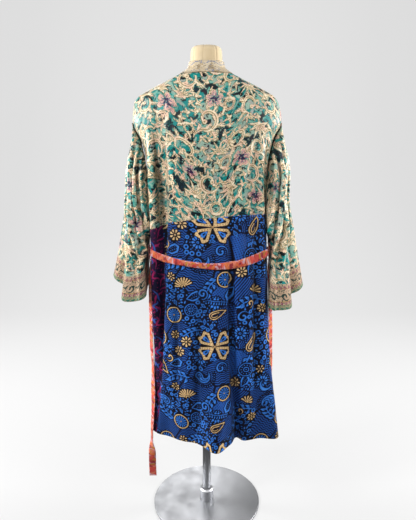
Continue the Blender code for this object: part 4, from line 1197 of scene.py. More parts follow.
def spray(length: float = 37.0, lobes: int = 7, spread: float = 74.0) -> Strokes:
    """A leaf of curling flame lobes from one foot.

    Args:
        length: Of the middle lobe.
        lobes: How many lobes it has.
        spread: How far the outer ones lean, in degrees.

    Returns:
        The strokes.
    """
    found = []
    for k in range(lobes):
        side = 2 * k / (lobes - 1) - 1
        long = length * (1 - 0.30 * abs(side))
        found.append(flame(0, 0, side * spread, long, side * 46 + 14, 2.7))
        foot = (3 * math.cos(side), 3 * side)
        found.append(flame(*foot, side * spread, 0.5 * long, side * 42 + 12, 0.5, "shade"))
    return found + [dot("cream", 3.6)]


def swash(length: float = 78.0, bend: float = 150.0) -> Strokes:
    """A long bent stalk with lobes along its outer side and a curl at its end.

    Args:
        length: The stalk's length.
        bend: How far it turns, in degrees.

    Returns:
        The strokes.
    """
    stalk = flame(0, 0, 0, length, bend, 3.6).points
    found = [stroke("cream", stalk, 1.0, 3.0, 4.0, 2.6, 1.4)]
    for k, long in ((2, 20.0), (4, 23.0), (6, 19.0), (8, 13.0)):
        found += plume(*stalk[k], heading_of(stalk[k + 1] - stalk[k]) - 16, 1.15 * long, -58, 2.6)
    found.append(flame(*stalk[5], heading_of(stalk[6] - stalk[5]) + 20, 17.0, 70, 2.7))
    return found + [stroke("shade", stalk[1:8], 0.3, 1.1, 0.3), dot("cream", 3.6, *stalk[-1])]


def loop(radius: float = 13.0) -> Strokes:
    """A ring with a tail, and a seed inside."""
    found = [ring("cream", radius, 2.9), ring("shade", radius, 0.6), flame(radius, 0, 100, 34, 80, 3.0)]
    return found + [flame(-radius, 0, 250, 22, -60, 2.6), dot("deep", 3.2, 2, 1), dot("sea", 1.3, 2, 1)]


def bloom(petals: int = 6, radius: float = 22.0) -> Strokes:
    """A full flower head: ruffled pink petals with pale rims and mauve folds round a dark heart.

    Args:
        petals: How many petals it has.
        radius: Its radius.

    Returns:
        The strokes.
    """
    found = []
    for k, turn in enumerate(np.arange(petals) * 360 / petals):
        long = radius * (1.0, 0.86, 0.95)[k % 3]
        petal = [stroke("cream", [(0.35 * long, 0), (0.80 * long, 3.0)], 0.22 * radius, 0.34 * radius),
                 stroke("pink", [(0.20 * long, 0), (0.74 * long, 2.0)], 0.18 * radius, 0.29 * radius),
                 flame(0.34 * long, 3.0, 16, 0.52 * long, -30, 0.9, "mauve"),
                 flame(0.34 * long, -2.0, -18, 0.48 * long, 30, 1.1, "mauve"),
                 flame(0.62 * long, 0.0, 0, 0.30 * long, 24, 0.7, "shade")]
        found += moved(petal, 0, 0, turn + 9 * (k % 2))
    found.append(dot("plum", 0.24 * radius))
    for turn, long in ((10, 0.56), (80, 0.40), (130, 0.62), (215, 0.44), (290, 0.52)):
        found.append(flame(0, 0, turn, long * radius, 60, 2.9, "plum"))
    found.append(flame(1, 1, 40, 0.3 * radius, 90, 0.8, "pink"))
    return found + [flame(-2, -1, 200, 0.28 * radius, 90, 0.7, "mauve"), dot("pink", 1.2, 1.5, 1.0)]


FLORAL_SIZE = 1.26
FLORAL_MOTIFS = (
    (swash, (), 96, 62, 64), (swash, (), 196, 30, 40, 0.9, True), (swash, (), 288, 84, 118),
    (swash, (), 40, 172, 24), (swash, (), 140, 176, 70, 0.9, True), (swash, (), 236, 186, 330, 0.9),
    (swash, (), 82, 268, 105, 0.9), (swash, (), 190, 262, 15), (swash, (), 290, 268, 60, 0.9, True),
    (spray, (), 128, 14, 200), (spray, (), 224, 92, 220, 1.1), (spray, (), 6, 84, 60),
    (spray, (), 160, 92, 118, 1, True), (spray, (), 290, 176, 96, 1.1), (spray, (), 84, 214, 250, 0.9),
    (spray, (), 196, 226, 140, 1, True), (spray, (), 50, 306, 22), (spray, (), 246, 300, 60, 0.9, True),
    (spray, (), 138, 310, 250, 1.1), (spray, (), 16, 236, 130), (spray, (), 270, 26, 300, 1.1),
    (scroll, (), 50, 40, 200), (scroll, (), 160, 44, 20, 1.1, True), (scroll, (), 252, 62, 300),
    (scroll, (), 8, 134, 260, 0.92, True), (scroll, (), 108, 134, 75, 1.1),
    (scroll, (), 262, 130, 40, 0.8, True), (scroll, (), 158, 212, 205, 1.05, True),
    (scroll, (), 244, 232, 150), (scroll, (), 44, 200, 90, 0.9), (scroll, (), 4, 286, 60, 0.95),
    (scroll, (), 106, 276, 330, 1.05, True), (scroll, (), 200, 304, 240, 0.95), (loop, (), 90, 14, 40),
    (loop, (), 58, 108, 200, 0.9), (loop, (), 214, 164, 110), (loop, (), 292, 228, 300),
    (loop, (), 68, 240, 20, 0.9), (loop, (), 150, 158, 250, 0.8), (bloom, (), 200, 128, 10),
    (bloom, (5, 19), 92, 90, 40), (bloom, (6, 20), 30, 256, 0), (bloom, (5, 18), 296, 20, 200),
    (bloom, (5, 16), 150, 256, 15),
)
FLORAL_LEAVES = ((31, 24.0, 30, 60, 5.0, "sea"), (32, 40.0, 26, -80, 4.0, "deep"),
                 (33, 29.0, 20, 60, 2.8, "sea"), (34, 17.0, 12, 50, 1.5, "deep"))
FLORAL_SHADOWS = ((30, 70), (122, 62), (214, 22), (262, 104), (78, 160), (196, 178),
                  (14, 216), (120, 246), (232, 270), (288, 200), (60, 300), (170, 300))


def floral_canvas() -> Canvas:
    """Scrolling flame leaves and flower heads over loosely brushed leaves.

    Returns:
        The print.
    """
    inks = ("sea", "deep", "olive", "cream", "shade", "pink", "mauve", "plum")
    canvas = Canvas(304.0 * FLORAL_SIZE, 324.0 * FLORAL_SIZE, inks)
    for seed, spacing, long, bend, wide, ink in FLORAL_LEAVES:
        canvas.scatter(
            seed, spacing, -FAR, lambda grown: [flame(0, 0, 0, long * grown, bend, wide, ink)], 0.0
        )
    for k, (x, y) in enumerate(FLORAL_SHADOWS):
        for spoke in range(9):
            mark = flame(3, 0, 0, 32 - 6 * (spoke % 3), 50 - 100 * (spoke % 2), 6.0 - spoke % 3, "deep")
            canvas.stamp(moved([mark], FLORAL_SIZE * x, FLORAL_SIZE * y, 40 * spoke + 17 * k), 0.0)
    canvas.place(FLORAL_MOTIFS, FLORAL_SIZE, 1.2)
    canvas.scatter(20, 34.0, 15.0, lambda grown: scroll(16.0 * grown, 300.0, 5, 3.6), 0.9, "cream")
    canvas.scatter(23, 24.0, 9.6, lambda grown: moved(spray(28.0 * grown, 4, 60.0), -12, 0), 0.9, "cream")
    canvas.scatter(21, 16.0, 7.6, lambda grown: moved(spray(24.0 * grown, 3, 42.0), -9, 0), 0.9, "cream")
    canvas.cast("olive", "cream", 1.8, 2.8)
    return canvas


def border_canvas(depth: float) -> Canvas:
    """The band printed above a sleeve's hem: dark vines between two rows of rings, over a leafy edge.

    Args:
        depth: How far above the hem it reaches.

    Returns:
        The print.
    """
    canvas = Canvas(96.0, depth, ("vine", "ring", "leaf"))
    for k in range(2):
        x = 48.0 * k
        vine = [stroke("vine", arc(0, 330, 15, 4, 22), 1.2, 3.6, 2.6), dot("vine", 3.6, 3.0, -1.0)]
        canvas.stamp(moved(vine, x + 14, 42, 30 + 180 * k), 0.8)
        for y, turn, wide in ((30, 20, 4.6), (56, 8, 3.8)):
            leaf = stroke("vine", [(0, 0), (12, 7), (26, 2)], 0.8, wide, 0.7)
            canvas.stamp(moved([leaf], x + 26, y, turn), 0.8)
        berries = ((2.4, 38, 40), (1.8, 33, 46), (1.6, 42, 48))
        canvas.stamp([dot("vine", radius, x + right, up) for radius, right, up in berries], 0.8)
    for k in range(6):
        for y in (12.5, 64.5):
            canvas.stamp(moved([ring("ring", 4.4, 1.3, 10), dot("ring", 1.6)], 16.0 * k + 8, y), 0.6)
    for k in range(5):
        mark = stroke("leaf", [(0, 0), (8, 3), (17, 0)], 0.8, 3.8, 0.6)
        canvas.stamp(moved([mark], 19.2 * k, 77 + 3 * (k % 2), 12 - 24 * (k % 2)), 0.8)
    canvas.scatter(61, 7.0, 2.6, lambda grown: [flame(-3, 0, 0, 8 * grown, 60, 1.5, "vine")], 0.5)
    canvas.scatter(62, 5.0, 2.0, lambda grown: [dot("ring", 1.1 * grown)], 0.3)
    return canvas


def plum_canvas() -> Canvas:
    """Brushed squiggles in magenta and blue.

    Returns:
        The print.
    """
    canvas = Canvas(120.0, 160.0, ("blue", "magenta"))
    chance = np.random.default_rng(31)
    t = np.linspace(0, 1, 14)
    for k in range(26):
        long, sway = chance.uniform(24, 60), chance.uniform(3, 9)
        line = np.stack([long * t, sway * np.sin(chance.uniform(5, 10) * t + k)], axis=-1)
        ink = "magenta" if k % 5 < 3 else "blue"
        mark = stroke(ink, line, 0.8, chance.uniform(2.2, 4.6), chance.uniform(1.2, 3.4), 0.6)
        at = chance.uniform(0, 1, 2) * (canvas.width, canvas.height)
        canvas.stamp(moved([mark], *at, chance.uniform(40, 140)), 0.4)
    canvas.scatter(
        32, 11.0, 3.0, lambda grown: [stroke("magenta", arc(0, 150, 4 * grown, count=6), 0.5, 1.5, 0.5)]
    )
    return canvas


def coral_canvas() -> Canvas:
    """Small paisley figures in mustard, orange, lilac and maroon, slanting across the strip.

    Returns:
        The print.
    """
    canvas = Canvas(232.0, 62.0, ("orange", "mustard", "lilac", "maroon"))
    brushed = ((51, "mustard", 34, 3.4, 24), (52, "orange", 38, 4.2, 30), (53, "maroon", 26, 1.3, 18))
    for seed, ink, long, wide, turn in brushed:
        chance = np.random.default_rng(seed)
        for _ in range(26):
            heading = turn + chance.uniform(-22, 22)
            mark = flame(0, 0, heading, long * chance.uniform(0.6, 1.2), chance.uniform(-60, 60), wide, ink)
            at = chance.uniform(0, 1, 2) * (canvas.width, canvas.height)
            canvas.stamp(moved([mark], *at), 0.4)
    canvas.scatter(
        54, 30.0, -FAR, lambda grown: [stroke("lilac", arc(0, 290, 8 * grown, 2.4, 14), 0.6, 3.2, 1.5)], 0.8
    )
    canvas.scatter(55, 21.0, -FAR, lambda grown: [flame(-6, 0, 0, 19 * grown, -70, 2.3, "lilac")], 0.5)
    canvas.scatter(56, 24.0, -FAR, lambda grown: [ring("maroon", 3.2 * grown, 0.9, 10)], 0.3)
    return canvas


def ivory_canvas() -> Canvas:
    """Wavy grey-blue lines, ochre spots and a brown scalloped vine.

    Returns:
        The print.
    """
    canvas = Canvas(96.0, 60.0, ("grey", "ochre", "brown"))
    x = np.linspace(0, 96, 49)
    for k, ink in enumerate(("grey", "brown", "grey", "ochre", "grey")):
        y = 6 + 12 * k + 3.2 * np.sin(2 * math.pi * x / (32 if k % 2 else 48) + 2 * k)
        line = np.stack([x, y], axis=-1)
        for part in range(0, 48, 6):
            canvas.stamp([stroke(ink, line[part : part + 7], 0.9 + 0.3 * (k == 2))], 0.0)
    canvas.scatter(41, 10.0, 3.2, lambda grown: [dot("ochre", 1.8 * grown)])
    canvas.scatter(42, 7.0, 2.8, lambda grown: [stroke("grey", [(-2.4, 0), (2.4, 0)], 0.7, 1.2)])
    return canvas


INK_EDGE = 0.4  # mm to each side of an ink's edge over which it fades
INK_DEEP = (-3.4, -0.2)  # mm inside an ink's edge between which its tone deepens
DYE_EDGE = 0.035  # share of the noise over which one dye runs into the next


def linear(code: str) -> Colour:
    """A colour's linear values from its sRGB hex code."""
    parts = [int(code[k : k + 2], 16) / 255 for k in (1, 3, 5)]
    return (*(p / 12.92 if p <= 0.04045 else ((p + 0.055) / 1.055) ** 2.4 for p in parts), 1.0)


def add_node(tree: bpy.types.NodeTree, kind: str, inputs: dict | None = None, out: int | str = 0,
             **settings: Any) -> Socket | None:
    """Adds a node, sets it up, and feeds its inputs.

    Args:
        tree: Where it goes.
        kind: Its type, without the words ShaderNode.
        inputs: Sockets or plain values, by the input's name or number.
        out: The output that is wanted.
        settings: The node's own settings.

    Returns:
        That output, or None if the node has none.
    """
    node = tree.nodes.new("ShaderNode" + kind)
    for name, value in settings.items():
        setattr(node, name, value)
    for key, value in (inputs or {}).items():
        if isinstance(value, Socket):
            tree.links.new(value, node.inputs[key])
        else:
            node.inputs[key].default_value = value
    return node.outputs[out] if len(node.outputs) else None


Add = Callable[..., Socket]  # add_node for one tree


def lay(add: Add, under: Colour, over: Colour, value: Socket, limits: Point, most: float = 1.0) -> Socket:
    """Lays one colour over another: from nowhere to fully, or to `most`, as a value crosses its limits."""
    mask = add("MapRange", {"Value": value, "From Min": limits[0], "From Max": limits[1], "To Max": most})
    return add("Mix", {0: mask, 6: under, 7: over}, 2, data_type="RGBA")


def shaded(add: Add, colour: Colour, value: Socket, limits: Point, tones: Point) -> Socket:
    """Darkens or lightens a colour as a value goes from one limit to the other.

    Args:
        add: Adds a node.
        colour: The colour.
        value: What decides its tone.
        limits: Two of its values.
        tones: What the colour is multiplied by at each.

    Returns:
        The colour.
    """
    tone = add("MapRange", {"Value": value, "From Min": limits[0], "From Max": limits[1],
                            "To Min": tones[0], "To Max": tones[1]})
    return add("Mix", {0: 1.0, 6: colour, 7: tone}, 2, data_type="RGBA", blend_type="MULTIPLY")


def apart(add: Add, value: Socket, middle: float) -> Socket:
    """How far a value is from a middle, on either side."""
    away = add("Math", {0: value, 1: middle}, operation="SUBTRACT")
    return add("Math", {0: away}, operation="ABSOLUTE")


@dataclass(frozen=True)
class Finish:
    """What a surface is made of. The kinds below say what each looks like."""

    name: str

    def surface(self, add: Add) -> Socket:
        """The nodes of the finish, up to its shader."""
        raise NotImplementedError

    def material(self) -> bpy.types.Material:
        """The finish as a material, made once.

        Returns:
            The material.
        """
        found = bpy.data.materials.get(self.name)
        if found:
            return found
        material = bpy.data.materials.new(self.name)
        material.use_nodes = True
        material.node_tree.nodes.clear()
        add = functools.partial(add_node, material.node_tree)
        add("OutputMaterial", {"Surface": self.surface(add)})
        return material


class Ink(NamedTuple):
    """An ink of a print: its field, its colour, a deeper tone near its edge, outline, and tone in patches."""

    field: str
    colour: str
    deep: str
    rim: str | None = None
    rim_width: float = 1.0
    patchy: str | None = None


class Zone(NamedTuple):
    """A stretch above the cuff with a ground colour of its own, in mm from the edge."""

    start: float
    stop: float
    colour: str


@dataclass(frozen=True)
class PrintedSilk(Finish):
    """Plain-woven silk, piece-dyed and block-printed, soft and a little shiny from wear.

    The ground is mottled with a second and a dark dye. Silk's smooth filaments give a broad, mild
    gloss with a pale sheen at grazing angles, and the slubs of its weft break the light up.
    """

    ground: str
    second: str
    dark: str
    inks: tuple[Ink, ...] = ()
    zones: tuple[Zone, ...] = ()
    patch: float = 42.0  # mm: size of the dyes' patches
    second_from: float = 0.50
    dark_from: float = 0.60
    roughness: float = 0.42
    sheen: float = 0.06
    stitched: float | None = None  # mm from the edge to the hem's stitches
    thread: str = "#8E8A80"
    stitch: Point = (2.3, 3.4)  # mm: what shows of a stitch, and the step from one to the next
    bleed: float = 0.6  # mm that an ink's edge wanders

    def surface(self, add: Add) -> Socket:
        """Dyes, inks, stitches, wear, painted shade and highlight along the folds, and weave.

        Args:
            add: Adds a node.

        Returns:
            The shader.
        """
        place = add("Attribute", out="Vector", attribute_name="cloth_mm")
        colour = self.printed(add, place, self.dyed(add, place))
        if self.stitched:
            colour = self.sewn(add, place, colour)
        # Uneven dye and wear in spots about 3 mm wide
        fine = add("TexNoise", {"Vector": place, "Scale": 0.35, "Detail": 3.0}, noise_dimensions="2D")
        colour = shaded(add, colour, fine, (0.3, 0.7), (0.86, 1.12))
        # Painted shade: darker where the cloth sinks in fold troughs and seam dips; painted highlight:
        # lighter on the crests
        fold = add("Attribute", out="Fac", attribute_name="fold_mm")
        colour = shaded(add, colour, fold, (-9.0, 5.0), (0.45, 1.12))
        rough = add("MapRange", {"Value": fine, "To Min": self.roughness - 0.07,
                                 "To Max": self.roughness + 0.09})
        return add("BsdfPrincipled", {
            "Base Color": colour, "Roughness": rough, "IOR": 1.54, "Specular IOR Level": 0.22,
            "Anisotropic": 0.25, "Sheen Weight": self.sheen, "Sheen Roughness": 0.45,
            "Normal": self.relief(add, place),
        })

    def dyed(self, add: Add, place: Socket) -> Colour:
        """The ground's colour: three dyes in soft-edged patches, and the border's zones.

        Args:
            add: Adds a node.
            place: Where a point lies on the cloth, in mm.

        Returns:
            The colour.
        """
        colour = linear(self.ground)
        dyes = (
            (self.second, self.second_from, self.patch, 0.0),
            (self.dark, self.dark_from, 0.6 * self.patch, 400.0),
        )
        for other, start, size, shift in dyes:
            shifted = add("VectorMath", {0: place, 1: (shift, shift / 2, 0.0)}, operation="ADD")
            patches = add("TexNoise", {"Vector": shifted, "Scale": 1 / size, "Detail": 2.5,
                                       "Distortion": 0.6}, noise_dimensions="2D")
            colour = lay(add, colour, linear(other), patches, (start, start + DYE_EDGE))
        for zone in self.zones:
            edge = add("Attribute", out="Fac", attribute_name="to_cuff")
            away = apart(add, edge, (zone.start + zone.stop) / 2)
            half = (zone.stop - zone.start) / 2
            colour = lay(add, colour, linear(zone.colour), away, (half + INK_EDGE, half - INK_EDGE))
        return colour

    def printed(self, add: Add, place: Socket, colour: Colour) -> Colour:
        """The inks over the ground, each with its outline and slightly bled edges.

        Args:
            add: Adds a node.
            place: Where a point lies on the cloth, in mm.
            colour: The ground.

        Returns:
            The colour.
        """
        # Blocks leave an edge that wanders every 4 mm or so
        bleed = add("TexNoise", {"Vector": place, "Scale": 0.26, "Detail": 4.0, "Roughness": 0.6},
                    noise_dimensions="2D")
        bleed = add("MapRange", {"Value": bleed, "From Min": 0.25, "From Max": 0.75,
                                 "To Min": -self.bleed, "To Max": self.bleed})
        for ink in self.inks:
            field = add("Attribute", out="Fac", attribute_name=ink.field)
            edge = add("Math", {0: field, 1: bleed}, operation="ADD")
            if ink.rim:
                limits = (ink.rim_width + INK_EDGE, ink.rim_width - INK_EDGE)
                colour = lay(add, colour, linear(ink.rim), edge, limits)
            body = lay(add, linear(ink.colour), linear(ink.deep), edge, INK_DEEP)
            if ink.patchy:  # another tone in patches about 26 mm wide
                patches = add("TexNoise", {"Vector": place, "Scale": 0.038, "Detail": 3.0},
                              noise_dimensions="2D")
                body = lay(add, body, linear(ink.patchy), patches, (0.48, 0.62))
            colour = lay(add, colour, body, edge, (INK_EDGE, -INK_EDGE))
        return colour

    def sewn(self, add: Add, place: Socket, colour: Colour) -> Socket:
        """Running stitches at a distance from the cloth's lower edge.

        Args:
            add: Adds a node.
            place: Where a point lies on the cloth, in mm.
            colour: The printed cloth.

        Returns:
            The colour.
        """
        shows, step = self.stitch
        edge = add("Attribute", out="Fac", attribute_name="edge_mm")
        away = apart(add, edge, self.stitched)
        line = add("MapRange", {"Value": away, "From Min": 0.45, "From Max": 0.15})
        along = add("SeparateXYZ", {"Vector": place})
        dash = add("Math", {0: along, 1: step}, operation="FLOORED_MODULO")
        dash = add("MapRange", {"Value": dash, "From Min": shows + 0.1, "From Max": shows - 0.1})
        mask = add("Math", {0: line, 1: dash}, operation="MULTIPLY")
        return add("Mix", {0: mask, 6: colour, 7: linear(self.thread)}, 2, data_type="RGBA")

    def relief(self, add: Add, place: Socket) -> Socket:
        """The surface's normal: threads, slubs along the weft, and faint crumples.

        Args:
            add: Adds a node.
            place: Where a point lies on the cloth, in mm.

        Returns:
            The normal.
        """
        # Threads 0.29 mm apart, at the coarse end of a light plain weave so that they show. Slubs
        # about 20 mm long and 1 mm thick, and crumples of about 18 mm
        threads = add("TexWave", {"Vector": place, "Scale": 1.1, "Distortion": 1.2, "Detail": 2.0}, "Fac",
                      bands_direction="Y")
        slubs = add("Mapping", {"Vector": place, "Scale": (0.05, 0.9, 1.0)})
        slubs = add("TexNoise", {"Vector": slubs, "Scale": 1.0, "Detail": 2.0}, noise_dimensions="2D")
        crumple = add("TexNoise", {"Vector": place, "Scale": 0.055, "Detail": 4.0, "Distortion": 0.8},
                      noise_dimensions="2D")
        height = add("Math", {0: threads, 1: 0.05, 2: slubs}, operation="MULTIPLY_ADD")
        height = add("Math", {0: height, 1: 0.12, 2: crumple}, operation="MULTIPLY_ADD")
        return add("Bump", {"Height": height, "Strength": 0.5, "Distance": 0.0016})


@dataclass(frozen=True)
class JerseyCover(Finish):
    """Cotton jersey, knitted and stretched over the form: matt and fuzzy, with darker seam lines."""

    name: str = "cotton_jersey"
    colour: str = "#D9C6A4"
    worn: str = "#CDB68E"
    seam: str = "#B59D78"

    def surface(self, add: Add) -> Socket:
        """Uneven cream, seam lines and the knit's ribs.

        Args:
            add: Adds a node.

        Returns:
            The shader.
        """
        place = add("Attribute", out="Vector", attribute_name="cloth_mm")
        # Yellowed in patches of about 50 mm
        tone = add("TexNoise", {"Vector": place, "Scale": 0.02, "Detail": 4.0}, noise_dimensions="2D")
        colour = add("Mix", {0: tone, 6: linear(self.colour), 7: linear(self.worn)}, 2, data_type="RGBA")
        edge = add("Attribute", out="Fac", attribute_name="edge_mm")
        colour = lay(add, colour, linear(self.seam), edge, (1.6, 0.3), 0.5)
        # Ribs 0.9 mm apart, as in a medium jersey
        knit = add("TexWave", {"Vector": place, "Scale": 0.35, "Distortion": 1.5, "Detail": 1.0}, "Fac",
                   bands_direction="X")
        normal = add("Bump", {"Height": knit, "Strength": 0.3, "Distance": 0.0004})
        return add("BsdfPrincipled", {"Base Color": colour, "Roughness": 0.88, "Sheen Weight": 0.25,
                                      "Sheen Roughness": 0.5, "Normal": normal})


@dataclass(frozen=True)
class BrushedSteel(Finish):
    """Bare steel brushed round the stand's axis, with the odd smear: it stretches highlights."""

    name: str = "brushed_steel"
    colour: str = "#A2A3A6"

    def surface(self, add: Add) -> Socket:
        """Brush lines and smears.

        Args:
            add: Adds a node.

        Returns:
            The shader.
        """
        place = add("TexCoord", out="Object")
        # Brush lines 1.1 mm apart, several times as coarse as real ones so that they show
        grain = add("Mapping", {"Vector": place, "Scale": (6.0, 6.0, 900.0)})
        grain = add("TexNoise", {"Vector": grain, "Scale": 1.0, "Detail": 3.0})
        # Smears of about 55 mm
        smear = add("TexNoise", {"Vector": place, "Scale": 18.0, "Detail": 4.0})
        rough = add("MapRange", {"Value": smear, "From Min": 0.35, "From Max": 0.7,
                                 "To Min": 0.36, "To Max": 0.52})
        normal = add("Bump", {"Height": grain, "Strength": 0.12, "Distance": 0.0004})
        return add("BsdfPrincipled", {"Base Color": linear(self.colour), "Metallic": 1.0, "Roughness": rough,
                                      "Anisotropic": 0.5, "Normal": normal})


@dataclass(frozen=True)
class Paper(Finish):
    """Matt photographic paper, evenly lit from behind: the sweep shows no shadow edge."""

    name: str = "sweep"
    grey: str = "#E6E6E6"

    def surface(self, add: Add) -> Socket:
        """A glow and a little of the light that falls on it."""
        glow = add("Emission", {"Color": linear(self.grey), "Strength": 0.80})
        return add("AddShader", {0: glow, 1: add("BsdfDiffuse", {"Color": (0.16, 0.16, 0.16, 1.0)})})


def plain_ink(field: str, colour: str) -> Ink:
    """An ink of one tone."""
    return Ink(field, colour, colour)


BORDER = 85.0  # mm of a sleeve above its cuff that the border print covers
BORDER_BELOW = -16.0  # mm past the cuff where the border print ends, inside the hem

FLORAL_INKS = (
    Ink("sea", "#8DB9A6", "#4FA396", patchy="#A9A8A0"),
    Ink("deep", "#0A3442", "#0A1117", patchy="#261A26"),
    Ink("olive", "#34483E", "#5E6848"),
    Ink("cream", "#FFF5E0", "#EFD6AE", "#75623C", 0.55, "#F3CDB2"),
    plain_ink("shade", "#B79A66"),
    Ink("pink", "#EDC6B4", "#DDA49A"),
    plain_ink("mauve", "#94587A"),
    plain_ink("plum", "#2C1C42"),
)
FLORAL_SILK = PrintedSilk(
    "floral_silk_print", "#078A86", "#9BB8A6", "#0B1B20", FLORAL_INKS, patch=50.0, dark_from=0.57, bleed=1.7
)
SLEEVE_SILK = PrintedSilk(
    "floral_silk_bordered", "#078A86", "#9BB8A6", "#0B1B20",
    (*FLORAL_INKS, plain_ink("leaf", "#2C6B5A"), Ink("vine", "#16302E", "#23403A"),
     plain_ink("ring", "#7A3A58")),
    (Zone(-14.0, 17.0, "#8F8E6E"), Zone(17.0, 85.0, "#BFA488"),
     Zone(25.0, 28.0, "#A58452"), Zone(68.0, 71.0, "#A58452")),
    patch=50.0, dark_from=0.57, bleed=1.7, stitched=9.0, thread="#B9A888",
)
BLUE_SILK = PrintedSilk(
    "blue_silk_print", "#08081A", "#0D0D24", "#05050F",
    (Ink("steel", "#2A62BC", "#2353A4"), Ink("blue", "#4A94F0", "#2F72D0"),
     Ink("gold", "#F2D6A8", "#DCB57E")),
    patch=60.0, stitched=10.0, thread="#1C2A5C",
)
PLUM_SILK = PrintedSilk(
    "plum_silk_print", "#2B1638", "#1B1230", "#120C22",
    (Ink("blue", "#4264B4", "#34509A"), Ink("magenta", "#B62A68", "#8C2054")),
    patch=50.0, stitched=10.0, thread="#4A2C5C",
)
CORAL_SILK = PrintedSilk(
    "coral_silk_print", "#D9534A", "#E58468", "#A03A40",
    (Ink("mustard", "#D6A444", "#BC8434"), Ink("orange", "#EE8C4C", "#DE7444"),
     plain_ink("maroon", "#7A2440"), Ink("lilac", "#F0D4D6", "#D8A4B0")),
    patch=26.0, dark_from=0.56,
)
IVORY_SILK = PrintedSilk(
    "ivory_silk_print", "#CCBA9C", "#D6C6AA", "#A8967A",
    (plain_ink("grey", "#66789A"), plain_ink("ochre", "#A07C40"), plain_ink("brown", "#4A382C")), patch=30.0,
)


def add_piece(name: str, node: str, finish: Finish, cloth: Cloth, fields: dict[str, Array],
              closed: bool = False) -> bpy.types.Object:
    """Makes a piece, gives it its finish, and gives it its place in the frame.

    Args:
        name: The object's name.
        node: The node of the part that it replaces.
        finish: Its finish.
        cloth: Its shape.
        fields: Its print's fields.
        closed: Whether its last row is joined to its first.

    Returns:
        The object.
    """
    obj = cloth.make(name, fields, closed)
    obj.data.materials.append(finish.material())
    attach(obj, "root")
    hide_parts(node)
    log.info("%s: %d faces", name, len(obj.data.polygons))
    return obj


@dataclass(frozen=True)
class Form:
    """The dress form: a limbless torso with a neck, and how far the robe keeps clear of it."""

    power: float = 2.3
    bottom: float = 0.815
    seams: tuple[float, ...] = (12, 48, 90, 132, 180, -36, -90, -132)  # degrees round from the back
    on_form: float = 0.0036
    loose: float = 0.0020
    loose_from: float = DROP_SEAM - 0.01
    loose_full: float = DROP_SEAM - 0.09
    most_slope: float = 3.0
    least_reach: float = 0.3
    below: float = 0.02  # how far below the form's bottom the robe still keeps clear of its shape
    end_size: float = 0.02  # of the last rings that close its neck and bottom, of their neighbours
    segments: int = 144
    rows: int = 150

    def size(self, name: str, heights: Array, distance: Value) -> Array:
        """A size of the form's sections, grown so that the surface lies off it.

        Args:
            name: The size's column.
            heights: Where.
            distance: How far off, square to the surface.

        Returns:
            The size at each height.
        """
        rise = FORM.read(name, heights + GRID_STEP) - FORM.read(name, heights - GRID_STEP)
        slope = np.minimum(np.abs(rise) / (2 * GRID_STEP), self.most_slope)
        return FORM.read(name, heights) + distance * np.sqrt(1 + slope**2)

    def clear(self, points: Array, heights: Array) -> Array:
        """Moves points that would enter the form out to just clear of it.

        Args:
            points: Level outlines.
            heights: The height of each.

        Returns:
            The outlines, clear of the form.
        """
        distance = self.on_form + self.loose * ease(self.loose_from, self.loose_full, heights)
        half_width, back, front = (
            self.size(name, heights, distance)[:, None] for name in ("half_width", "back", "front")
        )
        depth = np.where(points[..., 1] >= 0, back, front)
        x, y = np.abs(points[..., 0]) / half_width, np.abs(points[..., 1]) / depth
        inward = (x**self.power + y**self.power) ** (1 / self.power)
        beside_form = heights[:, None] > self.bottom - self.below
        grow = np.where(beside_form & (inward < 1), 1 / np.maximum(inward, self.least_reach), 1.0)
        return points * grow[..., None]

    def skin(self) -> Cloth:
        """The form's cover, sewn from panels along its seams.

        Returns:
            The cloth, with its distance from a seam as its edge.
        """
        knots = np.stack([FORM.columns["half_width"], FORM.columns["height"]], axis=-1)
        run = lengths(knots)
        heights = np.interp(np.linspace(0, run[-1], self.rows), run, knots[:, 1])
        heights[1] = heights[0] - 0.0004
        angle = np.linspace(0, 2 * math.pi, self.segments)[None, :]
        size = [FORM.read(name, heights)[:, None] for name in ("half_width", "back", "front")]
        rings = oval(angle, *size, self.power)
        level = np.broadcast_to(heights[:, None, None], rings.shape[:2] + (1,))
        points = np.concatenate([rings, level], axis=-1)
        for end, lift in ((0, 0.0006), (-1, -0.0004)):
            middle = points[end].mean(axis=0)
            points[end] = middle + (points[end] - middle) * self.end_size + (0, 0, lift)
        cloth = Cloth.laid(points, grid_normals(points, points - (0, 0, 1.2)))
        x, y = points[..., 0], points[..., 1]
        turns = [np.abs(np.arctan2(x, y) - math.radians(turn)) for turn in self.seams]
        seam = np.minimum(np.min(turns, axis=0) * np.hypot(x, y), 1.0)
        cloth.edge[:] = seam * MM
        return cloth.moved_out(-0.0010 * hump(seam, 0.0020) + 0.0004 * hump(seam - 0.004, 0.002))

    def build(self) -> None:
        """Makes the form's cover."""
        add_piece("form_cover_jersey", "dress_form", JerseyCover(), self.skin(), {})


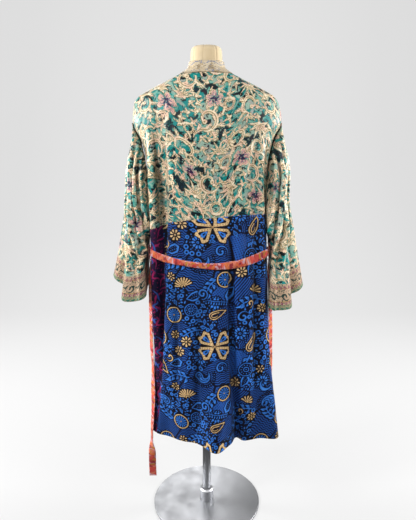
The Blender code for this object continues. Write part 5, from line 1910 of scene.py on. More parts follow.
@dataclass
class Body:
    """The robe's outer surface round the body, and where its panels meet."""

    form: Form
    margin: float = 0.012
    angles: int = 1433
    columns: int = 1601

    def __post_init__(self) -> None:
        """Works out the surface: base outlines, folds, and clearance from the form."""
        heights = np.arange(HEM - self.margin, BAND_BACK_EDGE + self.margin, GRID_STEP)
        angle = np.radians(np.linspace(-179, 179, self.angles))
        base = self.outlines(heights, angle)
        run = lengths(base)
        run -= run[:, self.angles // 2, None]
        self.heights = heights
        self.places = np.linspace(-2.0, 2.0, self.columns)
        self.quarters = {
            side: side * run[:, np.argmin(np.abs(angle - side * math.pi / 2))] for side in SIDES
        }
        share = run / np.where(run >= 0, self.quarters[1][:, None], self.quarters[-1][:, None])
        folded = base + outward(base) * self.fold_depths(heights, run)[..., None]
        self.base_x = self.by_share(share, base)[..., 0]
        shape = self.by_share(share, self.form.clear(folded, heights))
        self.surface = Surface(heights, self.places, shape)

    def size(self, name: str, heights: Array) -> Array:
        """A size of the robe's sections: its own below the drop seam, and clear of the form above.

        Args:
            name: The size's column.
            heights: Where.

        Returns:
            The size at each height.
        """
        own = ROBE.read(name, heights)
        form_name = "half_width" if name in SIDES.values() else name
        form = self.form.size(form_name, heights, self.form.on_form)
        on_shoulder = np.where(heights > ROBE.columns["height"][0], form, np.maximum(own, form))
        return np.where(heights < DROP_SEAM, own, on_shoulder)

    def outlines(self, heights: Array, angle: Array) -> Array:
        """The robe's level outlines before its folds.

        Args:
            heights: Where.
            angle: Places round each outline, from the right front by the back to the left.

        Returns:
            The outlines.
        """
        left, right, back, front = (
            self.size(name, heights)[:, None] for name in ("left", "right", "back", "front")
        )
        power = ROBE.read("power", heights)[:, None]
        return oval(angle[None, :], np.where(angle >= 0, left, right), back, front, power)

    def fold_depths(self, heights: Array, run: Array) -> Array:
        """How far the folds move each point of the outlines.

        Args:
            heights: The outlines' heights.
            run: Each point's distance round from the centre back.

        Returns:
            The depths.
        """
        depth = np.zeros_like(run)
        for at_arm, at_waist, at_hem, width, *depths in FOLDS.rows():
            route = (at_arm, at_arm, at_waist, (at_waist + at_hem) / 2, at_hem)
            swell = through(FOLD_HEIGHTS, depths, heights)
            depth += swell[:, None] * hump(run - through(FOLD_HEIGHTS, route, heights)[:, None], width)
        return depth

    def by_share(self, share: Array, outlines: Array) -> Array:
        """Outlines sampled afresh at the surface's places, from the share of each of their points."""
        return np.stack([resampled(line, own, self.places) for own, line in zip(share, outlines)])

    def quarter(self, height: Value, side: int = 1) -> Array:
        """Length round from the centre back to the side."""
        return np.interp(height, self.heights, self.quarters[side])

    def share_in_front(self, height: Value, x: Value) -> Array:
        """Share of the place in front, on the left, that lies `x` from the centre line.

        Args:
            height: Its height.
            x: Its distance from the centre line.

        Returns:
            The share at each place.
        """
        height, x = np.broadcast_arrays(height, x)
        front = self.places >= 1.0
        row = np.interp(height, self.heights, np.arange(len(self.heights)))
        found = []
        for k, want in zip(row.ravel(), x.ravel()):
            low = min(int(k), len(self.heights) - 2)
            near = [np.interp(-want, -self.base_x[low + n, front], self.places[front]) for n in (0, 1)]
            found.append(near[0] + (near[1] - near[0]) * (k - low))
        return np.reshape(found, height.shape)

    def normal(self, height: Array, place: Array) -> Array:
        """Outward unit normals of the surface.

        Args:
            height: Heights to read.
            place: Shares to read.

        Returns:
            The normal at each place.
        """
        at, step = self.surface.at, GRID_STEP
        across = at(height, place + step) - at(height, place - step)
        return unit(np.cross(at(height + step, place) - at(height - step, place), across))

    def side_seam(self, height: Value, side: int) -> Array:
        """Share of the side seam, below the underarm."""
        return SIDE_SEAMS.read(SIDES[side], height)

    def bound(self, panel: str, height: Value, side: int) -> Array:
        """Outer bound of the panel "back" or "front", as a share: the armhole, then the side seam."""
        arm = ARMHOLES.read(f"{panel}_{SIDES[side]}", height)
        return np.where(height > UNDERARM, arm, self.side_seam(height, side))

    def front_edge(self, height: Value) -> Array:
        """Share of the seam between a front and the neckband."""
        return self.share_in_front(height, BAND.read("seam_x", height, by="seam_height"))

    def waist(self, share_at: Callable[[Value], Array]) -> float:
        """Height of the waist seam on a grain line.

        Args:
            share_at: The line's share at a height.

        Returns:
            The height.
        """
        height = WAIST.columns["height"][4]
        for _ in range(6):
            height = WAIST.read("height", share_at(height), by="share")
        return float(height)

    def reach(self, side: int, heights: Array, middle: Value, width: float) -> Array:
        """How far out the robe reaches beside a strip.

        Args:
            side: 1 on the left, -1 on the right.
            heights: Where.
            middle: The strip's place (y) at each height.
            width: The strip's width.

        Returns:
            The distance from the centre line at each height.
        """
        line = self.surface.at(heights[:, None], side * np.linspace(0.60, 1.45, 341)[None, :])
        near = np.abs(line[..., 1] - np.reshape(middle, (-1, 1))) < width / 2 + GRID_STEP
        return np.where(near, np.abs(line[..., 0]), 0.0).max(axis=1)


@dataclass
class Panels:
    """The back and the fronts, cut from the body's surface above and below the waist seam."""

    body: Body
    floral: Canvas
    blue: Canvas
    plum: Canvas
    band_gap: float = 0.0035
    at_edge: float = 0.001
    last_place: float = 1.99
    levels: int = 160
    upper_back_grid: tuple[int, int] = (290, 318)
    lower_back_grid: tuple[int, int] = (238, 404)
    upper_front_grid: tuple[int, int] = (84, 176)
    lower_front_grid: tuple[int, int] = (116, 300)

    def detail(self, heights: Array, shares: Array) -> Array:
        """Creases and small ripples of the cloth round the body.

        Args:
            heights: Height of each point.
            shares: Share of each point.

        Returns:
            The depth at each point.
        """
        quarter = np.where(shares >= 0, self.body.quarter(heights, 1), self.body.quarter(heights, -1))
        x = shares * quarter
        depth = crease_depths(BODY_CREASES, x, heights)
        lively = 0.35 + 0.65 * ease(DROP_SEAM + 0.06, DROP_SEAM - 0.05, heights)
        depth += 0.0011 * lively * ripple(x, heights, 5, 0.028, 0.085)
        depth += 0.0005 * lively * ripple(x, heights, 6, 0.011, 0.026)
        free = ease(BELT_TOP - 0.05, HEM, heights)
        return depth + 0.0016 * free * ripple(x, heights, 7, 0.045, 0.30)

    def panel(self, grain: Sequence[tuple], rows: int, edges: str) -> Cloth:
        """A panel from its grain lines.

        Args:
            grain: For each line its share at a height, its top height and its bottom height.
            rows: How many rows it has.
            edges: Its sewn edges, as Cloth.seam_dip has them.

        Returns:
            The panel.
        """
        heights = np.empty((rows, len(grain)))
        shares = np.empty_like(heights)
        for j, (share_at, top, bottom) in enumerate(grain):
            heights[:, j] = top + (bottom - top) * np.linspace(0, 1, rows)
            shares[:, j] = np.clip(share_at(heights[:, j]), -self.last_place, self.last_place)
        start = (heights[0].max() - heights[0]) * MM
        cloth = Cloth.laid(self.body.surface.at(heights, shares), self.body.normal(heights, shares), start)
        return cloth.moved_out(self.detail(heights, shares) + cloth.seam_dip(edges))

    def back_share(self, place: float, height: Value) -> Array:
        """Share of an upper back's grain line.

        Args:
            place: Where it starts, of the way from the centre to the shoulder tip.
            height: Where it is read.

        Returns:
            The share at each height.
        """
        side = 1 if place >= 0 else -1
        quarter = self.body.quarter(height, side)
        ridge = np.clip(place * self.body.quarter(DROP_SEAM, side) / quarter, -1, 1)
        share = np.where(height > DROP_SEAM, ridge, place * self.body.bound("back", height, side))
        at_edge = abs(place) > 1 - self.at_edge
        return share - side * at_edge * SEAM_GAP / 2 / quarter

    def front_share(self, side: int, place: float, height: Value) -> Array:
        """Share of an upper front's grain line.

        Args:
            side: 1 on the left, -1 on the right.
            place: Where it lies, of the way from the armhole to the neckband.
            height: Where it is read.

        Returns:
            The share at each height.
        """
        edge = self.body.front_edge(height)
        quarter = self.body.quarter(height)
        length = (1 - place) * (self.body.front_edge(DROP_SEAM) - 1) * self.body.quarter(DROP_SEAM)
        ridge = np.maximum(edge - length / quarter, 1 + SEAM_GAP / 2 / quarter)
        hang = edge - (1 - place) * (edge - self.body.bound("front", height, side))
        share = np.where(height > DROP_SEAM, ridge, hang)
        share += (place < self.at_edge) * SEAM_GAP / 2 / quarter
        share -= (place > 1 - self.at_edge) * self.band_gap / quarter
        return side * share

    def upper_back(self) -> Cloth:
        """From the neckline and the shoulder seams down to the waist seam.

        Returns:
            The panel.
        """
        body, (columns, rows) = self.body, self.upper_back_grid
        across = np.linspace(-1, 1, GUIDE_POINTS)
        bounds = [body.bound("back", UNDERARM, side) for side in SIDES]
        guide = body.surface.at(UNDERARM, across * np.where(across >= 0, *bounds))
        levels = np.linspace(DROP_SEAM, NECK_SEAM, self.levels)
        grain = []
        for place in even(guide, columns) * 2 - 1:
            side = 1 if place >= 0 else -1
            top = np.interp(-abs(place) * body.quarter(DROP_SEAM, side), -body.quarter(levels, side), levels)
            share_at = functools.partial(self.back_share, place)
            grain.append((share_at, top, body.waist(share_at)))
        return self.panel(grain, rows, "tbs")

    def upper_front(self, side: int) -> Cloth:
        """From the shoulder seam down to the waist seam, armhole to neckband.

        Args:
            side: 1 on the left, -1 on the right.

        Returns:
            The panel.
        """
        body, (columns, rows) = self.body, self.upper_front_grid
        levels = np.linspace(DROP_SEAM, NECK_SEAM - 0.001, self.levels)
        to_edge = (body.front_edge(levels) - 1) * body.quarter(levels)
        grain = []
        for place in np.linspace(0, 1, columns):
            top = np.interp(-(1 - place) * to_edge[0], -to_edge, levels)
            share_at = functools.partial(self.front_share, side, place)
            grain.append((share_at, top, body.waist(share_at)))
        return self.panel(grain, rows, "tbs")

    def lower(self, bounds: Callable[[Value], tuple[Value, Value]], columns: int, rows: int) -> Cloth:
        """A panel from the waist seam to the hem.

        Args:
            bounds: The shares of its two sides at a height.
            columns: How many columns it has.
            rows: How many rows it has.

        Returns:
            The panel, hemmed.
        """

        def share_between(place: float, height: Value) -> Array:
            """Share `place` of the way from one side to the other."""
            low, high = bounds(height)
            return low + (high - low) * place

        middle = (HEM + NECK_SEAM) / 2
        guide = self.body.surface.at(middle, np.linspace(*bounds(middle), GUIDE_POINTS))
        lines = [functools.partial(share_between, place) for place in even(guide, columns)]
        grain = [(share_at, self.body.waist(share_at), HEM) for share_at in lines]
        return self.panel(grain, rows, "ts").hemmed()

    def back_bounds(self, height: Value) -> tuple[Value, Value]:
        """Shares of the lower back's sides: seam to seam behind."""
        return -self.body.side_seam(height, -1), self.body.side_seam(height, 1)

    def front_bounds(self, side: int, height: Value) -> tuple[Value, Value]:
        """Shares of a lower front's sides: the side seam and the neckband."""
        edge = self.body.front_edge(height) - SEAM_GAP / self.body.quarter(height)
        return side * self.body.side_seam(height, side), side * edge

    def build_backs(self) -> None:
        """Makes the upper and the lower back."""
        cloth = self.upper_back()
        cloth.edge[:] = NO_EDGE
        fields = self.floral.over(cloth, (150.0, 30.0))
        obj = add_piece("upper_back_silk", "back_upper", FLORAL_SILK, cloth, fields)

        cloth = self.lower(self.back_bounds, *self.lower_back_grid)
        fields = self.blue.over(cloth, (34.0, 22.0))
        obj = add_piece("lower_back_silk", "back_lower", BLUE_SILK, cloth, fields)

    def build_fronts(self, side: int) -> None:
        """Makes the upper and the lower front of one side.

        Args:
            side: 1 on the left, -1 on the right.
        """
        name = SIDES[side]
        cloth = self.upper_front(side)
        cloth.edge[:] = NO_EDGE
        fields = self.floral.over(cloth, (70.0 + 40 * side, 200.0))
        upper = f"upper_front_silk_{name}"
        obj = add_piece(upper, f"front_upper_{name}", FLORAL_SILK, cloth, fields)

        cloth = self.lower(functools.partial(self.front_bounds, side), *self.lower_front_grid)
        fields = self.plum.over(cloth, (30.0, 20.0 * side))
        lower = f"lower_front_silk_{name}"
        obj = add_piece(lower, f"front_lower_{name}", PLUM_SILK, cloth, fields)


@dataclass
class Sleeves:
    """The sleeves: each hangs from its armhole seam, closed under the arm and open at the cuff."""

    body: Body
    floral: Canvas
    border: Canvas
    clear: float = 0.0030
    top: float = DROP_SEAM - 0.006
    past_cuff: float = 0.03
    arm_blend: float = 0.03
    folds_from: float = UNDERARM + 0.10
    folds_length: float = 0.41
    half_round: float = 0.27
    beside: float = 0.003
    side_shares: tuple[float, float, int] = (0.45, 1.5, 211)
    places: int = 481
    span: int = 33
    columns: int = 250
    rows: int = 226

    def below_arm(self, heights: Array) -> Array:
        """How far the seam has left the armhole: 0 at the underarm, 1 a little below."""
        return np.clip((UNDERARM - heights) / self.arm_blend, 0, 1)

    def corners(self, side: int, heights: Array) -> list[Array]:
        """A sleeve's corners (out, back) at each height.

        Args:
            side: 1 on the left, -1 on the right.
            heights: Where.

        Returns:
            The back, outer and front corners, and the seam's back and front edges on the armhole.
        """
        inner, *others = (
            np.stack([SLEEVES[side].read(f"{name}_{way}", heights) for way in ("out", "back")], axis=-1)
            for name in ("inner", "back", "outer", "front")
        )
        lift = self.below_arm(heights)[:, None]
        for panel, gap in (("back", SEAM_GAP), ("front", -SEAM_GAP)):
            share = side * self.body.bound(panel, heights, side)
            on_body = self.body.surface.at(heights, share) + self.body.normal(heights, share) * ARMHOLE_LAP
            line = on_body[:, :2] * np.array([side, 1.0])
            at_underarm = [np.interp(UNDERARM, heights, line[:, axis]) for axis in range(2)]
            below = at_underarm * (1 - lift) + inner * lift
            others.append(np.where(heights[:, None] > UNDERARM, line, below) + np.array([0.0, gap]))
        return others

    def outlines(self, back: Array, outer: Array, front: Array, first: Array, last: Array) -> Array:
        """Outlines round a sleeve, with the places spread evenly along its back half and its front.

        Args:
            back: The back corner at each height.
            outer: The outer corner.
            front: The front corner.
            first: The seam's back edge.
            last: The seam's front edge.

        Returns:
            The outlines.
        """
        places = np.linspace(-1, 1, self.places)
        t = np.linspace(0, 1, self.span)[None, :, None]
        grid = np.empty((len(back), self.places, 2))
        halves = (
            ((front, first, back, outer), (first, back, outer, front), places <= 0),
            ((back, outer, front, last), (outer, front, last, back), places >= 0),
        )
        for near, far, mask in halves:
            pieces = [spline(*(p[:, None, :] for p in points), t) for points in (near, far)]
            line = np.concatenate([pieces[0], pieces[1][:, 1:]], axis=1)
            run = lengths(line)
            wanted = np.linspace(0, 1, int(mask.sum()))
            for i, length in enumerate(run[:, -1]):
                grid[i, mask] = resampled(line[i], run[i], wanted * length)
        return grid

    def fold_depths(self, side: int, heights: Array, places: Array) -> Array:
        """How far a sleeve's folds move each point of its outlines.

        Args:
            side: 1 on the left, -1 on the right.
            heights: The outlines' heights.
            places: Their places across.

        Returns:
            The depths.
        """
        hang = np.clip((self.folds_from - heights) / self.folds_length, 0, 1)[:, None]
        early = np.clip((DROP_SEAM - heights) / (DROP_SEAM - UNDERARM), 0, 1)[:, None]
        depth = np.zeros((len(heights), len(places)))
        for across, width, underarm, cuff in SLEEVE_FOLDS[side].rows():
            swell = underarm * early + (cuff - underarm) * hang
            depth += swell * hump(places[None, :] - across, width)
        return depth

    def surface(self, side: int) -> Surface:
        """A sleeve's outer surface, clear of the robe's body.

        Args:
            side: 1 on the left, -1 on the right.

        Returns:
            The surface: rows by height, columns by place across.
        """
        lowest = SLEEVES[side].columns["height"][-1] - self.past_cuff
        heights = np.arange(lowest, DROP_SEAM - GRID_STEP, GRID_STEP)
        places = np.linspace(-1, 1, self.places)
        grid = self.outlines(*self.corners(side, heights))
        grid += outward(grid) * self.fold_depths(side, heights, places)[..., None]
        near = side * np.linspace(*self.side_shares)
        clear = ARMHOLE_LAP + (self.clear - ARMHOLE_LAP) * self.below_arm(heights)
        for i, height in enumerate(heights):
            line = self.body.surface.at(height, near)
            beside = np.abs(line[None, :, 1] - grid[i, :, None, 1]) < self.beside
            most = np.where(beside, side * line[None, :, 0], 0).max(axis=1)
            grid[i, :, 0] = np.where(most > 0, np.maximum(grid[i, :, 0], most + clear[i]), grid[i, :, 0])
        return Surface(heights, places, grid * np.array([side, 1.0]))

    def cloth(self, side: int) -> Cloth:
        """A sleeve with its creases, hemmed at the cuff.

        Args:
            side: 1 on the left, -1 on the right.

        Returns:
            The sleeve.
        """
        across = np.linspace(-1, 1, self.columns)[None, :]
        hung = self.top - UNDERARM
        start = self.top - hung * np.abs(across)
        end = CUFFS.read(SIDES[side], across, by="across")
        height = start + (end - start) * np.linspace(0, 1, self.rows)[:, None]
        spread = np.clip((self.top - height) / hung, 1e-6, 1)
        points = self.surface(side).at(height, np.clip(across / spread, -1, 1))
        normals = grid_normals(points, points - points.mean(axis=(0, 1)))
        cloth = Cloth.laid(points, normals, (self.top - start) * MM)
        x = across * self.half_round
        depth = crease_depths(SLEEVE_CREASES[side], x, height)
        free = ease(1.0, 0.93, np.abs(across))
        depth += 0.0012 * ripple(x, height, 50 + side, 0.020, 0.080)
        depth += 0.0006 * ripple(x, height, 60 + side, 0.009, 0.024)
        depth = depth * (0.25 + 0.75 * free) - 0.0013 * np.exp(-(start - height) / 0.008)
        return cloth.moved_out(depth + cloth.seam_dip("t")).hemmed()

    def build(self, side: int) -> None:
        """Makes one sleeve: the floral print down to the border, and the border print above the cuff.

        Args:
            side: 1 on the left, -1 on the right.
        """
        name, cloth = SIDES[side], self.cloth(side)
        above = cloth.edge > BORDER
        fields = self.floral.over(cloth, (40.0 + 90 * side, 120.0), ~above)
        for ink in self.border.fields:
            values = self.border.read(ink, cloth.u, BORDER - cloth.edge)
            fields[ink] = np.where(above | (cloth.edge < BORDER_BELOW), FAR, values)
        fields["to_cuff"] = cloth.edge
        obj = add_piece(f"sleeve_silk_{name}", f"sleeve_{name}", SLEEVE_SILK, cloth, fields)


@dataclass
class Neckband:
    """The folded strip round the neck and down both front edges."""

    body: Body
    ivory: Canvas
    thick: float = 0.0022
    lift: float = 0.012  # where its outer face starts, of the way from its seam to its edge
    columns: int = 12
    behind: int = 60
    in_front: int = 460

    def edges(self) -> tuple[Array, Array]:
        """Both edges of the strip, from the centre back to the left hem.

        Returns:
            The seam and the rolled edge, as (share, height) points.
        """
        front_top = BAND.columns["edge_height"][0]
        turn = np.linspace(0, 1, self.behind, endpoint=False)
        seam = [(share, NECK_SEAM) for share in turn]
        edge = [(share, BAND_BACK_EDGE + (front_top - BAND_BACK_EDGE) * share) for share in turn]
        knots = np.arange(len(BAND.columns["seam_x"]))
        for at in np.linspace(0.0, knots[-1], self.in_front):
            for found, name in ((seam, "seam"), (edge, "edge")):
                height = float(through(knots, BAND.columns[name + "_height"], at))
                x = BAND.read(name + "_x", height, by=name + "_height")
                found.append((max(1.0, float(self.body.share_in_front(height, x))), height))
        return np.array(seam), np.array(edge)

    def cloth(self) -> Cloth:
        """The strip's outer face, rolled edge and inner face.

        Returns:
            The strip.
        """
        to_right = np.array([-1.0, 1.0])
        seam, edge = (np.concatenate([line[:0:-1] * to_right, line]) for line in self.edges())
        place = np.linspace(self.lift, 1, self.columns)[:, None, None]
        path = seam + (edge - seam) * place
        share, height = path[..., 0], path[..., 1]
        normals = self.body.normal(height, share)
        surface = self.body.surface.at(height, share)
        soft = 0.0006 * ripple(share * self.body.quarter(height), height, 71, 0.012, 0.024)
        full = 0.0011 * np.sin(math.pi * place[..., 0]) ** 0.5
        outer = surface + normals * (self.thick - CLOTH + full + soft)[..., None]
        inner = (surface - normals * CLOTH)[::-1]
        roll = outer[-1] + unit(outer[-1] - outer[-2]) * 0.0009 - normals[-1] * self.thick / 2
        facing = np.concatenate([normals, normals[-1:], -normals[::-1]])
        return Cloth.laid(np.concatenate([outer, roll[None], inner]), facing)

    def build(self) -> None:
        """Makes the neckband."""
        cloth = self.cloth()
        obj = add_piece("neckband_silk", "neckband", IVORY_SILK, cloth, self.ivory.over(cloth))


@dataclass
class Belt:
    """The tie belt round the back, its two hanging ends, and the loops at the side seams."""

    body: Body
    coral: Canvas
    width: float = 0.025
    cloth: float = 0.0016
    standoff: float = 0.0031
    thick: float = 0.0030
    end_thick: float = 0.0028
    loop_thick: float = 0.0016
    squareness: float = 0.35
    sag: float = 0.031
    sag_at: float = -0.040
    sag_power: float = 1.8
    reach_left: float = 0.170
    reach_right: float = 0.184
    end_top: float = 0.954
    end_bottoms: tuple[float, float] = (0.125, 0.340)  # of the left end and of the right
    end_gap: float = 0.003
    drift: float = 0.035  # how far forward the right end hangs
    drift_from: float = 0.751
    drift_to: float = 0.401
    twist_from: float = 0.285
    twist_to: float = 0.205
    loop_height: float = 0.052
    loop_width: float = 0.006
    loop_depth: float = 0.0066
    loop_past_crest: float = 0.006
    loop_corner: float = 0.006
    loop_shoulder: float = 0.001
    fullness: tuple[Point, ...] = (
        (0.0, 0.82), (0.22, 1.06), (0.40, 1.0), (0.52, 0.74), (0.66, 0.80), (0.80, 0.92), (1.0, 0.84)
    )
    back_grid: tuple[int, int] = (300, 20)
    end_grid: tuple[int, int] = (420, 18)
    loop_grid: tuple[int, int] = (60, 12)
    back_rounds: int = 75
    end_rounds: int = 60
    loop_rounds: int = 4

    def top(self, x: Array) -> Array:
        """Height of the belt's top edge: it hangs lowest near the centre back.

        Args:
            x: Distances from the centre line.

        Returns:
            The height at each.
        """
        far = np.where(x > self.sag_at, self.reach_left - self.sag_at, self.reach_right + self.sag_at)
        away = np.clip(np.abs(x - self.sag_at) / far, 0, 1)
        return BELT_TOP - self.sag * (1 - away**self.sag_power)

    def line(self) -> Array:
        """Line of the belt round the back, taut over the folds.

        Returns:
            Its corners from the right side's crest to the left's.
        """
        levels = np.linspace(BELT_TOP - self.sag - self.width, BELT_TOP, 8)
        cloud = self.body.surface.at(levels[:, None], np.linspace(-1.0, 1.0, GUIDE_POINTS))[..., :2]
        found = []
        for x, y in sorted(map(tuple, cloud[cloud[..., 1] > GRID_STEP])):
            while len(found) > 1:
                (ax, ay), (bx, by) = found[-2:]
                if (bx - ax) * (y - ay) - (by - ay) * (x - ax) < 0:
                    break
                found.pop()
            found.append((x, y))
        return np.array(found)

    def places(self, side: int) -> tuple[float, float, float]:
        """Where the loop and the hanging end of one side go.

        Args:
            side: 1 on the left, -1 on the right.

        Returns:
            How far out the side's crest lies, and the places (y) of the loop and of the end.
        """
        crest_x, crest_y = self.line()[-1 if side > 0 else 0]
        loop_y = crest_y - self.loop_past_crest
        return abs(crest_x), loop_y, loop_y - (self.loop_width + self.width) / 2 - self.end_gap

    def tube(self, path: Array, out: Array, along: Array, width: float, thick: float, around: int) -> Cloth:
        """A flattened tube of cloth.

        Args:
            path: Its middle line.
            out: The way its face looks, at each point of the path.
            along: The way its width lies.
            width: Its width.
            thick: Its thickness.
            around: How many points it has round it.

        Returns:
            The tube.
        """
        turn = np.linspace(0, 2 * math.pi, around, endpoint=False)
        sine, cosine = np.sin(turn)[:, None, None], np.cos(turn)[:, None, None]
        across = np.sign(cosine) * np.abs(cosine) ** self.squareness * width / 2
        points = path[None] + across * along[None] + sine * thick / 2 * out[None]
        normals = unit(cosine * along[None] * 0.3 + sine * out[None])
        girth = np.linspace(0, 2 * (width + thick), around, endpoint=False)[:, None] * MM
        u, v = np.broadcast_arrays(lengths(path)[None, :] * MM, girth)
        edge = np.broadcast_to((width / 2 - np.abs(across[..., 0])) * MM, u.shape)
        return Cloth(points, normals, u.copy(), v.copy(), edge.copy())

    def crumpled(self, cloth: Cloth, seed: int, amount: float = 0.0017) -> Cloth:
        """A tube with the soft crumples of a tied belt.

        Args:
            cloth: The tube.
            seed: Chooses the crumples.
            amount: Their depth.

        Returns:
            The crumpled tube.
        """
        x, y = cloth.u / MM, cloth.v / MM
        depth = amount * ripple(x + 0.6 * y, y, seed, 0.022, 0.013)
        depth += 0.5 * amount * ripple(x - 0.5 * y, y, seed + 1, 0.009, 0.006)
        return cloth.moved_out(depth * ease(0.0, 3.0, cloth.edge))

    def back(self) -> Cloth:
        """The stretch round the back, through both side loops.

        Returns:
            The tube.
        """
        stations, around = self.back_grid
        line = self.line()
        fronts = [self.places(side)[2] - self.width / 2 for side in (-1, 1)]
        line = np.array([(line[0][0], fronts[0]), *line, (line[-1][0], fronts[1])])
        run = lengths(line)
        steps = np.linspace(0, run[-1], stations)
        path = resampled(line, run, steps)
        for _ in range(self.back_rounds):
            path[1:-1] = 0.25 * path[:-2] + 0.5 * path[1:-1] + 0.25 * path[2:]
        flat_out = outward(path)
        path = path + flat_out * (self.standoff + self.cloth / 2)
        sway = 0.0012 * ripple_along(steps, 81, 0.03)
        middle = np.column_stack([path, self.top(path[:, 0]) - self.width / 2 + sway])
        out = unit(np.column_stack([flat_out, 0.16 * ripple_along(steps, 82, 0.05)]))
        across = unit(np.cross(unit(np.gradient(middle, axis=0)), out))
        narrow = 1 - 0.16 * np.abs(ripple_along(steps, 83, 0.04))
        narrow *= np.interp(steps / run[-1], *np.transpose(self.fullness))
        across = across * narrow[:, None]
        return self.crumpled(self.tube(middle, out, across, self.width, self.thick, around), 84)

    def end(self, side: int) -> Cloth:
        """One end of the belt: hangs from its loop down the side of the skirt, and turns below the hem.

        Args:
            side: 1 on the left, -1 on the right.

        Returns:
            The tube.
        """
        stations, around = self.end_grid
        height = np.linspace(self.end_top, self.end_bottoms[0 if side > 0 else 1], stations)
        crest, _, middle = self.places(side)
        middle = middle - (0.0 if side > 0 else self.drift) * ease(self.drift_from, self.drift_to, height)
        sway = 0.50 + 0.26 * ripple_along(height, 91 + side, 0.09)
        hugging = ease(self.end_top - 0.02, self.end_top - 0.12, height) * sway
        angle = np.maximum(ease(self.twist_from, self.twist_to, height) * math.pi / 2, hugging)
        off = self.standoff + self.cloth / 2
        on_belt = crest + off + SEAM_GAP + 1.6 * self.cloth
        out = np.where(height > BELT_TOP - 2 * self.width, on_belt, 0)
        for edge in (-0.5, 0.0, 0.5):
            place = middle + edge * self.width * np.cos(hugging)
            reach_out = self.body.reach(side, np.maximum(height, HEM), place, 0.002)
            out = np.maximum(out, reach_out + off + edge * self.width * np.sin(hugging))
        flat = np.zeros_like(angle)
        path = np.column_stack([side * smoothed(out, self.end_rounds), middle, height])
        across = np.column_stack([-side * np.sin(angle), np.cos(angle), flat])
        facing = np.column_stack([side * np.cos(angle), np.sin(angle), flat])
        return self.crumpled(self.tube(path, facing, across, self.width, self.end_thick, around), 94 + side)

    def loop(self, side: int) -> Cloth:
        """A narrow loop of cloth at a side seam, standing round the belt.

        Args:
            side: 1 on the left, -1 on the right.

        Returns:
            The tube.
        """
        stations, around = self.loop_grid
        top = BELT_TOP + 0.5 * (self.loop_height - self.width)
        bottom = top - self.loop_height
        middle = self.places(side)[1]
        start, stop = self.body.reach(side, np.array([top, bottom]), middle, self.loop_width) + SEAM_GAP
        outer = max(start, stop) + self.loop_depth + CLOTH / 2
        shoulder = outer - 0.3 * self.loop_depth
        knots = np.array([
            (start, top), (shoulder, top - self.loop_shoulder), (outer, top - self.loop_corner),
            (outer, bottom + self.loop_corner), (shoulder, bottom + self.loop_shoulder), (stop, bottom),
        ])
        run = lengths(knots)
        line = resampled(knots, run, np.linspace(0, run[-1], stations))
        line = np.stack([smoothed(line[:, axis], self.loop_rounds) for axis in range(2)], axis=-1)
        way = unit(np.gradient(line, axis=0))
        path = np.column_stack([side * line[:, 0], np.full(stations, middle), line[:, 1]])
        facing = np.column_stack([-side * way[:, 1], np.zeros(stations), way[:, 0]])
        across = np.tile([0.0, 1.0, 0.0], (stations, 1))
        return self.tube(path, facing, across, self.loop_width, self.loop_thick, around)

    def add(self, name: str, node: str, cloth: Cloth) -> bpy.types.Object:
        """Makes one piece of the coral silk."""
        return add_piece(name, node, CORAL_SILK, cloth, self.coral.over(cloth), closed=True)

    def build(self) -> None:
        """Makes the stretch round the back, then each side's end and loop."""
        obj = self.add("belt_silk_back", "belt_back", self.back())
        for side, name in SIDES.items():
            cloth = self.end(side)
            obj = self.add(f"belt_silk_end_{name}", f"belt_end_{name}", cloth)
            length = float(np.ptp(cloth.points[..., 2]))
            self.add(f"belt_loop_silk_{name}", f"belt_loop_{name}", self.loop(side))


@dataclass(frozen=True)
class Stand:
    """The pole with its collar and the round base, which keep the part's own meshes."""

    nodes: tuple[str, ...] = ("stand_pole", "stand_base")

    def dress(self) -> None:
        """Gives the stand its steel."""
        steel = BrushedSteel().material()
        for node in self.nodes:
            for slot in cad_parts[node].material_slots:
                slot.material = steel
            log.info("%s: %s", node, steel.name)


class Lamp(NamedTuple):
    """A square soft box aimed at the robe's middle: its size in metres, its power in watts."""

    name: str
    place: tuple[float, float, float]
    size: float
    power: float


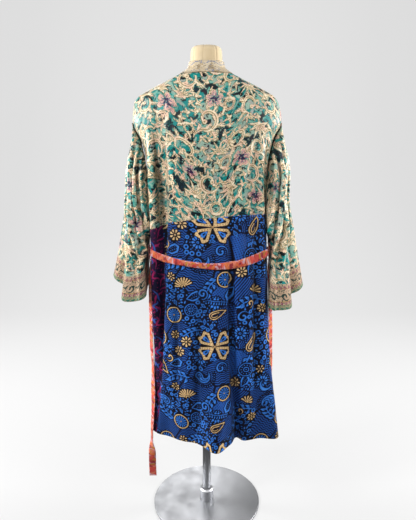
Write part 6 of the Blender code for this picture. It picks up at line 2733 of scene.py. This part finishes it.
@dataclass(frozen=True)
class Studio:
    """Pale sweep, soft lights from all sides, and the camera behind the robe."""

    near: float = 6.0
    far: float = -3.2
    half_width: float = 7.0
    height: float = 6.0
    bend: float = 1.2
    bend_steps: int = 24
    world_strength: float = 0.17
    aim: tuple[float, float, float] = (0.0, 0.0, 1.0)
    lamps: tuple[Lamp, ...] = (
        Lamp("key", (2.6, 1.3, 2.1), 0.6, 75.0),
        Lamp("fill", (-2.6, 1.2, 1.9), 0.6, 43.0),
        Lamp("rim_left", (2.2, -0.5, 1.4), 0.5, 66.0),
        Lamp("rim_right", (-2.2, -0.5, 1.4), 0.5, 66.0),
        Lamp("top", (0.3, 2.6, 2.8), 1.2, 32.0),
        Lamp("front", (0.4, -2.6, 1.8), 1.2, 22.0),
    )
    sensor: float = 36.0
    lens: float = 36.4
    camera_place: tuple[float, float, float] = (-0.0047, 1.65, 1.31)
    camera_tip: float = 14.0  # degrees down from level

    def build(self) -> None:
        """Makes the sweep, the lights and the camera."""
        scene = bpy.context.scene
        self.sweep()
        world = bpy.data.worlds.new("studio")
        world.use_nodes = True
        background = world.node_tree.nodes["Background"].inputs
        background["Color"].default_value = (1.0, 1.0, 1.0, 1.0)
        background["Strength"].default_value = self.world_strength
        scene.world = world
        for lamp in self.lamps:
            light = bpy.data.lights.new(lamp.name, "AREA")
            light.size = lamp.size
            light.energy = lamp.power
            obj = bpy.data.objects.new(lamp.name, light)
            obj.location = lamp.place
            obj.rotation_euler = (Vector(self.aim) - Vector(lamp.place)).to_track_quat("-Z", "Y").to_euler()
            scene.collection.objects.link(obj)
        data = bpy.data.cameras.new("camera")
        data.sensor_fit = "VERTICAL"
        data.sensor_height = self.sensor
        data.lens = self.lens
        camera = bpy.data.objects.new("camera", data)
        camera.location = self.camera_place
        camera.rotation_euler = (math.radians(90 - self.camera_tip), 0.0, math.pi)
        scene.collection.objects.link(camera)
        scene.camera = camera
        scene.view_settings.view_transform = "Standard"
        scene.view_settings.look = "None"

    def sweep(self) -> None:
        """Makes the floor, running up into the backdrop."""
        turn = np.linspace(0, math.pi / 2, self.bend_steps)
        y = np.concatenate([[self.near], self.far + self.bend * (1 - np.sin(turn)), [self.far]])
        z = np.concatenate([[0.0], self.bend * (1 - np.cos(turn)), [self.height]])
        points = [(x, *yz) for yz in zip(y.tolist(), z.tolist()) for x in (-self.half_width, self.half_width)]
        faces = [(2 * k, 2 * k + 2, 2 * k + 3, 2 * k + 1) for k in range(len(y) - 1)]
        mesh = bpy.data.meshes.new("sweep")
        mesh.from_pydata(points, [], faces)
        mesh.shade_smooth()
        mesh.materials.append(Paper().material())
        obj = bpy.data.objects.new("sweep", mesh)
        obj.visible_diffuse = False
        obj.visible_glossy = False
        bpy.context.scene.collection.objects.link(obj)


def main() -> None:
    """Builds the robe's pieces in order, then the form, the stand's finish and the studio."""
    logging.basicConfig(level=logging.INFO, format="%(name)s %(message)s")
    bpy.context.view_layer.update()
    form = Form()
    body = Body(form)
    floral = floral_canvas()
    panels = Panels(body, floral, blue_canvas(), plum_canvas())
    sleeves = Sleeves(body, floral, border_canvas(BORDER))
    log.info("prints drawn")
    panels.build_backs()
    for side in SIDES:
        panels.build_fronts(side)
        sleeves.build(side)
    Neckband(body, ivory_canvas()).build()
    Belt(body, coral_canvas()).build()
    form.build()
    Stand().dress()
    Studio().build()


if __name__ == "__main__":
    main()
